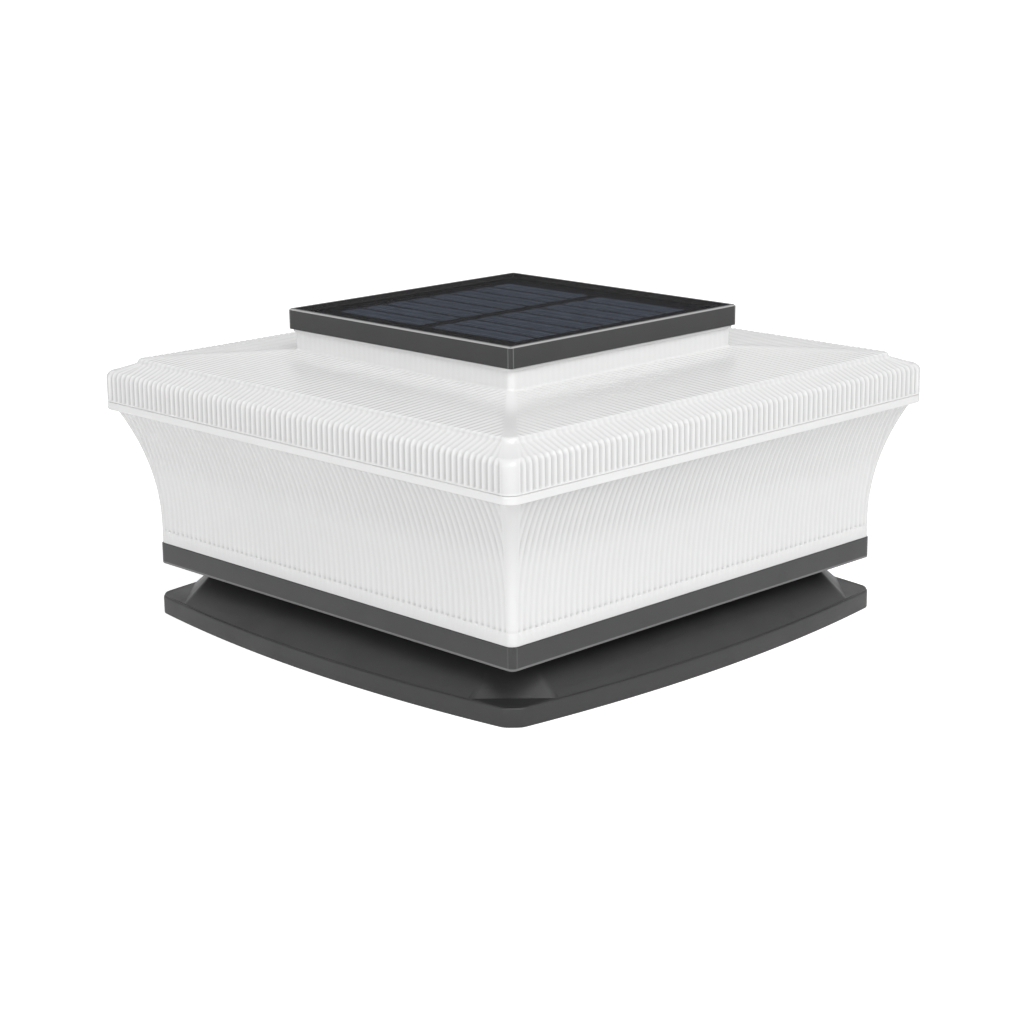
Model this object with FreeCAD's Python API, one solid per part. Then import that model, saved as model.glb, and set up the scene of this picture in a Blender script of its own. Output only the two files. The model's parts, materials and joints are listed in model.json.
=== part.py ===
import FreeCAD, Part
import math
import os

# Deck post cap light. Millimetres, +Z up, origin at the middle of the underside.
# The sides lie along X and Y; every level is stacked from the ones below it.

V = FreeCAD.Vector

# ---- base plate -------------------------------------------------------------
rim_height = 6.25           # upright edge of the plate
rim_bow = 7.2               # how far a side arches out between its sharp corners
rim_corner_cut = 2.0        # from a sharp corner to the flat that cuts it
rim_bevel = 0.5             # broken top edge of the rim
slope_run = 19.9            # shoulder to the rim's middle, outwards
slope_rise = 11.2
slope_corner_cut = 10.5     # from a sharp corner to the foot of a corner facet
shoulder_width = 5.4        # level seat between slope and plug
shoulder_cut = 6.0          # corner cut of the shoulder, along a side
plug_half = 69.6
plug_height = 4.6
plug_radius = 3.0
base_wall = 2.6
post_halves = (69.85, 57.15, 44.45)    # posts of 139.7, 114.3 and 88.9 mm
post_clearance = 0.75
socket_step = 4.7           # depth of each post socket below the next
groove_rib_spacing = 52.0
groove_rib_thickness = 2.0
groove_rib_depth = 3.0      # below the skin of the slope
post_screw_spacing = 60.0
post_screw_hole_radius = 1.95

# ---- reflector on the plug --------------------------------------------------
reflector_thickness = 1.6
reflector_margin = 0.3      # plate to the plug's outer face
pyramid_foot_half = 47.0
pyramid_top_half = 14.0
pyramid_rise = 5.4
pyramid_radius = 2.0        # its corners, seen from above
peg_inset = 15.6            # peg's middle to the plug's outer face
peg_radius = 1.9
peg_length = 6.5
peg_boss_radius = 4.0
fit_gap = 0.05              # radial gap of pegs and screws in their holes

# ---- lower tray -------------------------------------------------------------
tray_width = 17.2           # plug's face to the tray's face
tray_radius = 2.0
tray_height = 7.45
tray_wall = 2.2
plug_clearance = 0.4
upstand_height = 2.0
upstand_thickness = 1.5
seat_gap = 0.4              # between parts that locate each other sideways

# ---- lower lens -------------------------------------------------------------
lens_inset = 0.1            # lens foot behind the tray's face
lens_wall = 2.2
roof_thickness = 2.0
lens_foot_radius = 2.5
lens_straight = 6.5         # upright stretch under the flare
flare_height = 40.8
flare_radius = 88.6
lip_overhang = 2.1
lip_thickness = 2.75
band_radius = 4.0
tongue_height = 3.0
tongue_thickness = 1.6
tongue_gap = 0.3
tongue_corner_step = 1.0    # tongue's corner radius under the band's, and again inside
flange_thickness = 2.2

# ---- tray screws ------------------------------------------------------------
tray_screw_inset = 6.7      # screw's middle to the tray's face
tray_boss_radius = 3.5
tray_boss_height = 2.9
lens_boss_height = 14.0
screw_radius = 1.45
screw_clearance = 0.3
screw_head_radius = 2.7
screw_head_height = 1.7
screw_end_gap = 0.8         # from a screw's tip to the end of its hole
screw_slot_width = 0.5
screw_slot_reach = 0.6      # cross slot's arm, of the head's radius
screw_slot_depth = 0.5      # of the head's height

# ---- upper lens -------------------------------------------------------------
band_height = 8.0
band_round_width = 1.95
band_round_rise = 2.6
band_round_steps = 4        # flats that make the rounding
ledge_width = 5.9
ledge_rise = 2.3
step_draft = 0.45
step_height = 1.5
eave_radius = 3.0
roof_rise = 2.65
collar_inset = 1.3          # collar behind the frame's face
collar_radius = 2.0
collar_height = 7.2
collar_lip = 0.6            # small rim under the frame
collar_lip_height = 1.0
collar_flange_width = 8.8   # the collar's inward flange

# ---- solar frame and panel --------------------------------------------------
frame_radius = 1.2
frame_height = 6.8
frame_wall = 1.6
frame_floor = 3.4
frame_bevel = 0.35
gasket_width = 2.4
gasket_depth = 1.0
gasket_margin = 0.6         # gasket groove to the collar's outer face
seal_width = 4.0
seal_thickness = 0.7
panel_gap = 0.4             # panel's edge to the frame's wall
backing_thickness = 1.1
cell_end_margin = 9.8      # panel's edge to the strips' ends
cell_side_margin = 11.6   # panel's edge to the first and last strip
cell_thickness = 0.2
cell_rows = 8
cell_columns = 2
row_gap = 1.75
column_gap = 5.9
cover_thickness = 1.0
lead_slot_length = 16.0
lead_slot_width = 6.0
lead_slot_offset = 3.0      # towards the battery from the board's middle

# ---- housing under the frame ------------------------------------------------
tub_radius = 3.0
tub_wall = 1.8
tub_end_room = 2.3          # battery bay's wall to the tub's wall
tub_headroom = 0.65         # over the cell, up to the flange
tub_flange_width = 7.3
tub_flange_gap = 0.5        # flange edge to the collar's inner wall
housing_screw_inset = 3.3   # screw's middle to the flange's edge

# ---- battery bay ------------------------------------------------------------
cell_radius = 9.25
battery_length = 63.5
nub_radius = 3.5
nub_length = 1.5
bay_gap = 0.7               # cell to the bay's side walls
bay_wall = 1.6
bay_wall_height = 14.2
contact_thickness = 0.5
contact_width = 10.0
contact_height = 15.0
spring_reach = 7.5          # how far the leaf stands off the bay's end
pad_thickness = 2.2
pad_gap = 0.25              # cell to its pad
door_thickness = 1.8
door_overlap = 5.0
door_end_overlap = 1.4
grip_pitch = 3.0            # finger ribs on the door
grip_width = 0.9
grip_height = 0.5
door_screw_end = 5.5        # screw's middle to the bay's end
door_screw_inset = 2.4
small_screw_radius = 1.0
small_head_radius = 1.9
small_head_height = 0.9
small_screw_length = 5.5
small_boss_radius = 2.2
battery_edge_radius = 0.6
leaf_bend = 3.0             # fold of the leaf spring, in thicknesses
leaf_tip_drop = 4.0         # tip of the leaf below its contact point, in thicknesses
pad_length = 46.0

# ---- lamp strips ------------------------------------------------------------
strip_inset = 2.0           # strip to the tub's outer faces
strip_width = 12.0
strip_thickness = 1.6
leds_per_strip = 12
led_end_gap = 3.05          # strip's end to its first lamp
led_length = 3.5
led_width = 2.8
led_height = 1.2
cover_wall = 1.0
cover_gap = 0.4             # strip to its cover's walls
cover_depth = 4.4
door_strip_gap = 1.65       # front cover to the battery door

# ---- control board and switch -----------------------------------------------
board_end_gap = 4.2         # board to the tub's walls
board_side_gap = 3.2
board_width = 28.0
board_thickness = 1.6
board_height = 5.4          # standoffs above the tub's floor
standoff_radius = 2.5
standoff_x_inset = 5.0
standoff_y_inset = 4.0
switch_offset = 7.0         # towards the battery from the board's middle
switch_length = 9.6
switch_width = 5.0
switch_height = 3.8
switch_wall = 0.6
slider_travel = 4.0
slider_gap = 0.15
stem_length = 2.0
stem_width = 1.4
foot_length = 3.2
foot_height = 1.6
knob_length = 5.0
knob_width = 4.0
knob_thickness = 1.4
knob_gap = 0.3
knob_grip_width = 0.5
knob_grip_height = 0.4

# ---- components, placed from a corner of the board that faces the battery ----
chip_size = (8.0, 6.0, 1.6)
chip_inset = (24.0, 19.0)
coil_radius = 3.5
coil_height = 4.0
coil_inset = (16.0, 8.0)
capacitor_radius = 2.5
capacitor_height = 6.0
capacitor_inset = (34.0, 7.0)
terminal_size = (10.0, 5.6, 5.0)
terminal_inset = (20.0, 8.0)

# ---- leads ------------------------------------------------------------------
lead_radius = 0.6
lead_pair = 4.0             # distance between a red lead and its black one
lead_hole_gap = 0.5
bend_share = 0.45           # of the shorter run beside a bend, taken up by its arc
lead_bow = 3.0              # sideways slack of a panel lead
lead_rise = 2.0             # how far a strip lead arches over the cell
lead_edge = 4.0             # strip lead's start from the board's edge
battery_lead_rise = 1.5     # over the bay's wall
battery_lead_landing = 6.0  # in from the board's edge

# ---- levels -----------------------------------------------------------------
shoulder_z = rim_height + slope_rise
plug_top = shoulder_z + plug_height
tray_top = shoulder_z + tray_height
flare_z = tray_top + lens_straight
lip_z = flare_z + flare_height
seam_z = lip_z + lip_thickness
band_top = seam_z + band_height
ledge_z = band_top + band_round_rise
step_z = ledge_z + ledge_rise
eave_z = step_z + step_height
collar_z = eave_z + roof_rise
frame_z = collar_z + collar_height
frame_top = frame_z + frame_height
seal_z = frame_z + frame_floor
backing_z = seal_z + seal_thickness
cells_z = backing_z + backing_thickness
cover_z = cells_z + cell_thickness
tub_top = frame_z - flange_thickness
tub_flange_z = tub_top - flange_thickness
tub_z = tub_flange_z - tub_headroom - 2 * cell_radius - pad_gap - pad_thickness
tub_floor_z = tub_z + tub_wall
board_z = tub_floor_z + board_height
board_top = board_z + board_thickness
strip_z = tub_z - strip_thickness
cell_axis_z = tub_z + pad_thickness + pad_gap + cell_radius

# ---- half widths ------------------------------------------------------------
shoulder_half = plug_half + shoulder_width
rim_mid_half = shoulder_half + slope_run
rim_corner_half = rim_mid_half - rim_bow
rim_reach = rim_corner_half * math.sqrt(2) - rim_corner_cut
slope_reach = rim_corner_half * math.sqrt(2) - slope_corner_cut
peg_reach = plug_half - peg_inset
opening_half = plug_half + plug_clearance
upstand_half = opening_half + upstand_thickness
tray_half = plug_half + tray_width
tray_screw_reach = tray_half - tray_screw_inset
lens_foot_half = tray_half - lens_inset
band_half = lens_foot_half + flare_radius - math.sqrt(flare_radius**2 - flare_height**2) + lip_overhang
ledge_half = band_half - band_round_width
step_half = ledge_half - ledge_width
eave_half = step_half - step_draft

# ---- the tub holds the battery bay, the collar takes the tub, the frame the collar
bay_half_length = (battery_length + nub_length + spring_reach + contact_thickness) / 2
bay_half_width = cell_radius + bay_gap
tub_inner_half = bay_half_length + bay_wall + tub_end_room
tub_half = tub_inner_half + tub_wall
tub_flange_half = tub_half + tub_flange_width
collar_inner_half = tub_flange_half + tub_flange_gap
collar_half = collar_inner_half + lens_wall
collar_flange_half = collar_inner_half - collar_flange_width
housing_screw_reach = tub_flange_half - housing_screw_inset
frame_half = collar_half + collar_inset
recess_half = frame_half - frame_wall
panel_half = recess_half - panel_gap
cell_length = (2 * (panel_half - cell_end_margin) - (cell_columns - 1) * column_gap) / cell_columns
cell_width = (2 * (panel_half - cell_side_margin) - (cell_rows - 1) * row_gap) / cell_rows
column_pitch = cell_length + column_gap
row_pitch = cell_width + row_gap

# ---- places under the tub and in it -----------------------------------------
strip_length = 2 * (tub_half - strip_inset)
strip_y = tub_half - strip_inset - strip_width / 2
led_pitch = (strip_length - 2 * led_end_gap - led_length) / (leds_per_strip - 1)
bay_y = bay_half_width + door_overlap + door_strip_gap + cover_wall + cover_gap + strip_width / 2 - strip_y
door_screw_x = bay_half_length - door_screw_end
board_length = 2 * (tub_inner_half - board_end_gap)
board_y = tub_inner_half - board_side_gap - board_width / 2
standoff_x = board_length / 2 - standoff_x_inset
switch_y = board_y - switch_offset
lead_slot_y = board_y - lead_slot_offset
pilot_radius = screw_radius + fit_gap
screw_hole_radius = screw_radius + screw_clearance
small_pilot_radius = small_screw_radius + fit_gap
small_hole_radius = small_screw_radius + screw_clearance
through = 1.0               # how far a cutting tool runs past a face


# ---- shapes that repeat -----------------------------------------------------
def rect_wire(half_x, half_y, radius, z, centre=(0.0, 0.0)):
    """Rounded rectangle about a centre, at a level."""
    cx, cy = centre
    bend = radius * (1 - math.sqrt(0.5))
    edges = []
    for k in range(4):
        a, b = (half_x, half_y) if k % 2 == 0 else (half_y, half_x)
        angle = k * 90
        turn = FreeCAD.Rotation(V(0, 0, 1), angle)
        side = [V(a, -b + radius, 0), V(a, b - radius, 0), V(a - bend, b - bend, 0), V(a - radius, b, 0)]
        p = [turn.multVec(v) + V(cx, cy, z) for v in side]
        edges.append(Part.makeLine(p[0], p[1]))
        edges.append(Part.Arc(p[1], p[2], p[3]).toShape())
    return Part.Wire(edges)


def plate(half_x, half_y, radius, z0, z1, centre=(0.0, 0.0)):
    """Upright rounded block between two levels."""
    return Part.Face(rect_wire(half_x, half_y, radius, z0, centre)).extrude(V(0, 0, z1 - z0))


def square(half, radius, z0, z1):
    """Upright rounded square block about the middle."""
    return plate(half, half, radius, z0, z1)


def block(half_x, half_y, z0, z1, centre=(0.0, 0.0)):
    """Sharp cornered block about a centre."""
    cx, cy = centre
    return Part.makeBox(2 * half_x, 2 * half_y, z1 - z0, V(cx - half_x, cy - half_y, z0))


def post(radius, centre, z0, z1):
    """Upright cylinder."""
    return Part.makeCylinder(radius, z1 - z0, V(centre[0], centre[1], z0))


def stack(sections, ruled=True):
    """Solid through rounded squares given as (half, radius, z)."""
    wires = [rect_wire(half, half, radius, z) for half, radius, z in sections]
    return Part.makeLoft(wires, True, ruled)


def corners(reach):
    """The four points at plus and minus reach."""
    return [(sx * reach, sy * reach) for sx in (-1, 1) for sy in (-1, 1)]


def joined(shapes):
    """Shapes fused to one, with leftover seams removed."""
    return shapes[0].fuse(shapes[1:]).removeSplitter() if len(shapes) > 1 else shapes[0]


def drilled(shape, tools):
    """Shape with every tool taken out of it."""
    return shape.cut(tools) if tools else shape


def bowed_wire(mid, corner, reach, z):
    """Square with arched sides whose corners are cut square to the diagonal.

    Each side is an arc through the two sharp corners and the side's middle;
    reach is the distance from the centre to a corner's flat.
    """
    sagitta = mid - corner
    radius = (corner**2 + sagitta**2) / (2 * sagitta)
    middle = reach * math.sqrt(2) - mid + radius
    end = (middle - math.sqrt(2 * radius**2 - middle**2)) / 2
    height = mid - radius + math.sqrt(radius**2 - end**2)
    edges = []
    for k in range(4):
        turn = FreeCAD.Rotation(V(0, 0, 1), k * 90)
        side = [V(mid, 0, 0), V(height, -end, 0), V(height, end, 0), V(end, height, 0)]
        p = [turn.multVec(v) + V(0, 0, z) for v in side]
        edges.append(Part.Arc(p[1], p[0], p[2]).toShape())
        edges.append(Part.makeLine(p[2], p[3]))
    return Part.Wire(edges)


def cut_square_wire(half, cut, z):
    """Square with its corners cut at 45 degrees."""
    edges = []
    for k in range(4):
        turn = FreeCAD.Rotation(V(0, 0, 1), k * 90)
        side = [V(half, -half + cut, 0), V(half, half - cut, 0), V(half - cut, half, 0)]
        p = [turn.multVec(v) + V(0, 0, z) for v in side]
        edges.append(Part.makeLine(p[0], p[1]))
        edges.append(Part.makeLine(p[1], p[2]))
    return Part.Wire(edges)


def screw(centre, seat_z, length, radius, head_radius, head_height):
    """Screw driven upwards: head under the seat, cross slot in the head."""
    head = post(head_radius, centre, seat_z - head_height, seat_z)
    arm = head_radius * screw_slot_reach
    slot_top = seat_z - head_height * (1 - screw_slot_depth)
    for half_x, half_y in ((arm, screw_slot_width / 2), (screw_slot_width / 2, arm)):
        cutter = block(half_x, half_y, seat_z - head_height - through, slot_top, centre)
        head = head.cut(cutter)
    return head.fuse(post(radius, centre, seat_z, seat_z + length)).removeSplitter()


# ---- base plate and reflector -----------------------------------------------
def slope_solid(lower):
    """Slope from the rim to the shoulder, the whole solid set lower by some depth."""
    inset = rim_bevel
    foot = bowed_wire(rim_mid_half - inset, rim_corner_half - inset, slope_reach, rim_height - lower)
    top = cut_square_wire(shoulder_half, shoulder_cut, shoulder_z - lower)
    return Part.makeLoft([foot, top], True, True)


def rim_solid(inset, z0, z1):
    """Bowed block under the slope, drawn in by an inset."""
    wire = bowed_wire(rim_mid_half - inset, rim_corner_half - inset, rim_reach - inset, z0)
    return Part.Face(wire).extrude(V(0, 0, z1 - z0))


def rim_bevel_solid():
    """Bevelled top edge of the rim."""
    low = bowed_wire(rim_mid_half, rim_corner_half, rim_reach, rim_height - rim_bevel)
    high = bowed_wire(rim_mid_half - rim_bevel, rim_corner_half - rim_bevel, rim_reach - rim_bevel,
                      rim_height)
    return Part.makeLoft([low, high], True, True)


def groove_solid(drop):
    """Room under the slope and inside the rim, its ceiling set lower by some depth."""
    room = slope_solid(drop)
    if rim_height > drop:
        room = room.fuse(rim_solid(base_wall, -through, rim_height - drop))
    return room.common(rim_solid(base_wall, -through, shoulder_z))


def post_base():
    """Hollow plate: bowed rim, slope, plug, stepped sockets for three post sizes."""
    parts = [rim_solid(0, 0, rim_height - rim_bevel), rim_bevel_solid(), slope_solid(0)]
    parts.append(square(plug_half, plug_radius, shoulder_z, plug_top))
    body = joined(parts)
    # sockets from below, widest first, and the steps over them from above
    below = -through
    depth = socket_step
    for half in post_halves:
        body = body.cut(square(half + post_clearance, plug_radius / 2, below, depth))
        depth += socket_step
    inner = plug_half - base_wall
    outer_bounds = [inner] + [half + post_clearance + base_wall for half in post_halves[1:]]
    inner_bounds = outer_bounds[1:] + [None]
    floor = socket_step + base_wall
    for outer, island in zip(outer_bounds, inner_bounds):
        well = square(outer, plug_radius, floor, plug_top + through)
        if island is not None:
            well = well.cut(square(island, plug_radius, floor - through, plug_top + 2 * through))
        body = body.cut(well)
        floor += socket_step
    # groove between the outer skin and the wall of the socket and the plug
    skin_drop = base_wall * math.hypot(1, slope_rise / slope_run)
    core = max(post_halves[0] + post_clearance, inner) + base_wall
    socket_wall = square(core, plug_radius, below - through, plug_top)
    ribs = []
    for k in (-1, 0, 1):
        place = k * groove_rib_spacing
        ribs.append(block(rim_mid_half, groove_rib_thickness / 2, below, shoulder_z, (0, place)))
        ribs.append(block(groove_rib_thickness / 2, rim_mid_half, below, shoulder_z, (place, 0)))
    body = body.cut(groove_solid(skin_drop).cut([socket_wall] + ribs))
    body = body.cut(groove_solid(skin_drop + groove_rib_depth).cut(socket_wall))
    # bosses for the reflector's pegs, holes for the post screws
    boss_z = 2 * socket_step + base_wall
    for centre in corners(peg_reach):
        body = body.fuse(post(peg_boss_radius, centre, boss_z - through / 2, plug_top - seat_gap))
    tools = [post(peg_radius + fit_gap, centre, plug_top - peg_length - screw_end_gap, plug_top)
             for centre in corners(peg_reach)]
    tools += [post(post_screw_hole_radius, centre, below, shoulder_z + through)
              for centre in corners(post_screw_spacing / 2)]
    return drilled(body, tools).removeSplitter()


def reflector_plate():
    """White floor on the plug, raised to a low pyramid, with pegs into the base."""
    top = plug_top + reflector_thickness
    apex = top + pyramid_rise
    body = square(plug_half - reflector_margin, plug_radius, plug_top, top)
    body = body.fuse(stack([(pyramid_foot_half, pyramid_radius, top),
                            (pyramid_top_half, pyramid_radius, apex)]))
    slope_foot = pyramid_foot_half - reflector_thickness
    slope_top = pyramid_top_half - reflector_thickness
    hollow = stack([(slope_foot, pyramid_radius / 2, plug_top),
                    (slope_top, pyramid_radius / 2, plug_top + pyramid_rise)])
    body = body.cut(hollow)
    pegs = [post(peg_radius, centre, plug_top - peg_length, plug_top) for centre in corners(peg_reach)]
    return joined([body] + pegs)


# ---- tray and lens ----------------------------------------------------------
def lower_tray():
    """Black ring: hollow below, seats the lens above, slips over the plug."""
    body = square(tray_half, tray_radius, shoulder_z, tray_top)
    channel = square(tray_half - tray_wall, tray_radius / 2, shoulder_z - through, tray_top - tray_wall)
    channel = channel.cut(square(opening_half + tray_wall, plug_radius, shoulder_z - 2 * through, tray_top))
    body = body.cut(channel)
    body = body.fuse(square(upstand_half, plug_radius, tray_top - tray_wall, tray_top + upstand_height))
    floor_z = tray_top - tray_wall
    for centre in corners(tray_screw_reach):
        body = body.fuse(post(tray_boss_radius, centre, floor_z - tray_boss_height, floor_z + tray_wall / 2))
    body = body.cut(square(opening_half, plug_radius, shoulder_z - through,
                           tray_top + upstand_height + through))
    tools = [post(screw_hole_radius, centre, shoulder_z - through, tray_top + through)
             for centre in corners(tray_screw_reach)]
    return drilled(body, tools).removeSplitter()


def tray_screws():
    """Four screws up through the tray into the lens."""
    seat = tray_top - tray_wall - tray_boss_height
    length = tray_top + flange_thickness + lens_boss_height - 2 * screw_end_gap - seat
    return Part.makeCompound([screw(centre, seat, length, screw_radius, screw_head_radius, screw_head_height)
                              for centre in corners(tray_screw_reach)])


def flare_sections(inset, count=6):
    """Rounded squares up the flare: an upright arc that leans out to the lip."""
    sections = []
    for k in range(count):
        share = k / (count - 1)
        rise = flare_height * share
        out = flare_radius - math.sqrt(flare_radius**2 - rise**2)
        radius = lens_foot_radius + (band_radius - lens_foot_radius) * share**2
        sections.append((lens_foot_half + out - inset, radius, flare_z + rise))
    return sections


def lower_lens():
    """Flared wall with its lip, foot flange, tongue and screw bosses."""
    outer = square(lens_foot_half, lens_foot_radius, tray_top, flare_z)
    outer = outer.fuse(stack(flare_sections(0), ruled=False))
    outer = outer.fuse(square(band_half, band_radius, lip_z, seam_z))
    lip_inner = flare_sections(lens_wall)[-1][0]
    inner_radius = lens_foot_radius / 2
    inner = square(lens_foot_half - lens_wall, lens_foot_radius, tray_top + flange_thickness, flare_z)
    inner = inner.fuse(stack(flare_sections(lens_wall), ruled=False))
    inner = inner.fuse(square(lip_inner, band_radius, lip_z, seam_z + through))
    body = outer.cut(inner)
    body = body.cut(square(upstand_half + seat_gap, inner_radius, tray_top - through, flare_z))
    tongue_outer = band_half - lens_wall - tongue_gap
    outer_radius = band_radius - tongue_corner_step
    bore_radius = outer_radius - tongue_corner_step
    tongue = square(tongue_outer, outer_radius, seam_z - lip_thickness / 2, seam_z + tongue_height)
    tongue = tongue.cut(square(tongue_outer - tongue_thickness, bore_radius, lip_z,
                               seam_z + 2 * tongue_height))
    body = body.fuse(tongue)
    boss_z = tray_top + flange_thickness
    for centre in corners(tray_screw_reach):
        body = body.fuse(post(tray_boss_radius, centre, tray_top, boss_z + lens_boss_height))
    tools = [post(pilot_radius, centre, tray_top - through, boss_z + lens_boss_height - screw_end_gap)
             for centre in corners(tray_screw_reach)]
    return drilled(body, tools).removeSplitter()


def roof_sections(inset, drop):
    """Rounded squares of the band's rounded top, the ledge, step and roof, drawn in and down."""
    profile = []
    for k in range(band_round_steps + 1):
        angle = math.pi / 2 * k / band_round_steps
        half = ledge_half + band_round_width * math.cos(angle)
        profile.append((half, band_radius, band_top + band_round_rise * math.sin(angle)))
    profile.append((step_half, eave_radius, step_z))
    profile.append((eave_half, eave_radius, eave_z))
    profile.append((collar_half, collar_radius, collar_z))
    return [(half - inset, radius, z - drop) for half, radius, z in profile]


def upper_lens():
    """Band, step, roof and collar in one shell, with an inward flange for the screws."""
    outer = square(band_half, band_radius, seam_z, band_top)
    outer = outer.fuse(stack(roof_sections(0, 0)))
    outer = outer.fuse(square(collar_half, collar_radius, collar_z - through / 2, frame_z))
    outer = outer.fuse(square(collar_half + collar_lip, collar_radius, frame_z - collar_lip_height, frame_z))
    inner = square(band_half - lens_wall, band_radius, seam_z - through, band_top - roof_thickness)
    inner = inner.fuse(stack(roof_sections(lens_wall, roof_thickness)))
    shaft = square(collar_inner_half, collar_radius / 2, eave_z - roof_thickness, frame_z - flange_thickness)
    inner = inner.fuse(shaft)
    body = outer.cut(inner)
    body = body.cut(square(collar_flange_half, collar_radius, collar_z, frame_z + through))
    tools = [post(screw_hole_radius, centre, tub_flange_z, frame_z + through)
             for centre in corners(housing_screw_reach)]
    return drilled(body, tools).removeSplitter()


# ---- solar frame and panel --------------------------------------------------
def gasket_square(z0, z1):
    """Square ring let into the frame's underside over the collar."""
    outer = collar_half - gasket_margin
    ring = square(outer, collar_radius, z0, z1)
    return ring.cut(square(outer - gasket_width, collar_radius / 2, z0 - through, z1 + through))


def collar_gasket():
    """Seal between collar and frame."""
    return gasket_square(frame_z, frame_z + gasket_depth)


def solar_frame():
    """Bezel with a floor; the panel lies in its recess."""
    body = square(frame_half, frame_radius, frame_z, frame_top - frame_bevel)
    body = body.fuse(stack([(frame_half, frame_radius, frame_top - frame_bevel),
                            (frame_half - frame_bevel, frame_radius, frame_top)]))
    body = body.cut(square(recess_half, frame_radius / 2, seal_z, frame_top + through))
    body = body.cut(gasket_square(frame_z - through, frame_z + gasket_depth))
    slot = block(lead_slot_length / 2, lead_slot_width / 2, frame_z - through, seal_z + through,
                 (0, lead_slot_y))
    tools = [post(pilot_radius, centre, frame_z - through, seal_z - screw_end_gap / 2)
             for centre in corners(housing_screw_reach)]
    return drilled(body, tools + [slot]).removeSplitter()


def panel_seal():
    """Foam ring that beds the panel on the frame's floor."""
    ring = square(panel_half, frame_radius / 2, seal_z, backing_z)
    return ring.cut(square(panel_half - seal_width, frame_radius / 2, seal_z - through, backing_z + through))


def panel_backing():
    """Board that carries the cells."""
    return square(panel_half, frame_radius / 2, backing_z, cells_z)


def solar_cells():
    """Cell strips, long along X, in columns and rows."""
    strips = []
    for column in range(cell_columns):
        x = (column - (cell_columns - 1) / 2) * column_pitch
        for row in range(cell_rows):
            y = (row - (cell_rows - 1) / 2) * row_pitch
            strips.append(block(cell_length / 2, cell_width / 2, cells_z, cover_z, (x, y)))
    return Part.makeCompound(strips)


def panel_cover():
    """Clear sheet over the cells."""
    return square(panel_half, frame_radius / 2, cover_z, cover_z + cover_thickness)


# ---- housing ----------------------------------------------------------------
def door_screw_points():
    """Two screws of the battery door, at opposite corners."""
    reach = bay_half_width + door_overlap - door_screw_inset
    return [(-door_screw_x, bay_y + reach), (door_screw_x, bay_y - reach)]


def standoff_points():
    """Four standoffs of the control board."""
    reach = board_width / 2 - standoff_y_inset
    return [(sx * standoff_x, board_y + sy * reach) for sx in (-1, 1) for sy in (-1, 1)]


def board_screw_points():
    """The two standoffs that take screws."""
    points = standoff_points()
    return [points[0], points[3]]


def strip_lead_points(side, polarity):
    """Where a lamp strip's lead passes the tub's floor."""
    return (side * strip_length / 4 + polarity * lead_pair / 2, side * strip_y)


def housing_tub():
    """White box hung under the collar: battery bay, standoffs, openings in its floor."""
    body = square(tub_half, tub_radius, tub_z, tub_top)
    body = body.fuse(square(tub_flange_half, tub_radius, tub_flange_z, tub_top))
    body = body.cut(square(tub_inner_half, tub_radius / 2, tub_floor_z, tub_top + through))
    wall_top = tub_floor_z + bay_wall_height
    bay = block(bay_half_length + bay_wall, bay_half_width + bay_wall, tub_floor_z - tub_wall / 2,
                wall_top, (0, bay_y))
    body = body.fuse(bay)
    for centre in door_screw_points():
        body = body.fuse(post(small_boss_radius, centre, tub_floor_z - tub_wall / 2,
                              tub_floor_z + small_screw_length))
    for centre in standoff_points():
        body = body.fuse(post(standoff_radius, centre, tub_floor_z - tub_wall / 2, board_z))
    tools = [block(bay_half_length, bay_half_width, tub_z - through, wall_top + through, (0, bay_y))]
    slot_half = (slider_travel + stem_length) / 2 + cover_gap
    tools.append(block(slot_half, stem_width / 2 + cover_gap, tub_z - through, tub_floor_z + through,
                       (0, switch_y)))
    for centre in corners(housing_screw_reach):
        tools.append(post(screw_hole_radius, centre, tub_flange_z - through, tub_top + through))
    for centre in door_screw_points():
        tools.append(post(small_pilot_radius, centre, tub_z - through,
                          tub_floor_z + small_screw_length - cover_gap))
    for centre in board_screw_points():
        tools.append(post(small_pilot_radius, centre, tub_floor_z, board_z + through))
    for side in (-1, 1):
        for polarity in (-1, 1):
            centre = strip_lead_points(side, polarity)
            tools.append(post(lead_radius + lead_hole_gap, centre, tub_z - through, tub_floor_z + through))
    return drilled(body, tools).removeSplitter()


def housing_screws():
    """Four screws up through tub and collar into the frame."""
    length = seal_z - screw_end_gap - tub_flange_z
    return Part.makeCompound([screw(centre, tub_flange_z, length, screw_radius, screw_head_radius,
                                    screw_head_height)
                              for centre in corners(housing_screw_reach)])


def battery_cell():
    """Cylindrical cell, plus end towards -X."""
    start = -bay_half_length + contact_thickness
    axis = V(1, 0, 0)
    nub = Part.makeCylinder(nub_radius, nub_length + through, V(start, bay_y, cell_axis_z), axis)
    can = Part.makeCylinder(cell_radius, battery_length, V(start + nub_length, bay_y, cell_axis_z), axis)
    rounded = can.makeFillet(battery_edge_radius,
                             [e for e in can.Edges if abs(e.Length - 2 * math.pi * cell_radius) < 0.01])
    return rounded.fuse(nub).removeSplitter()


def battery_contact():
    """Plus plate against the bay's end."""
    x = -bay_half_length + contact_thickness / 2
    z0 = cell_axis_z - contact_height / 2
    return block(contact_thickness / 2, contact_width / 2, z0, z0 + contact_height, (x, bay_y))


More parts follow.
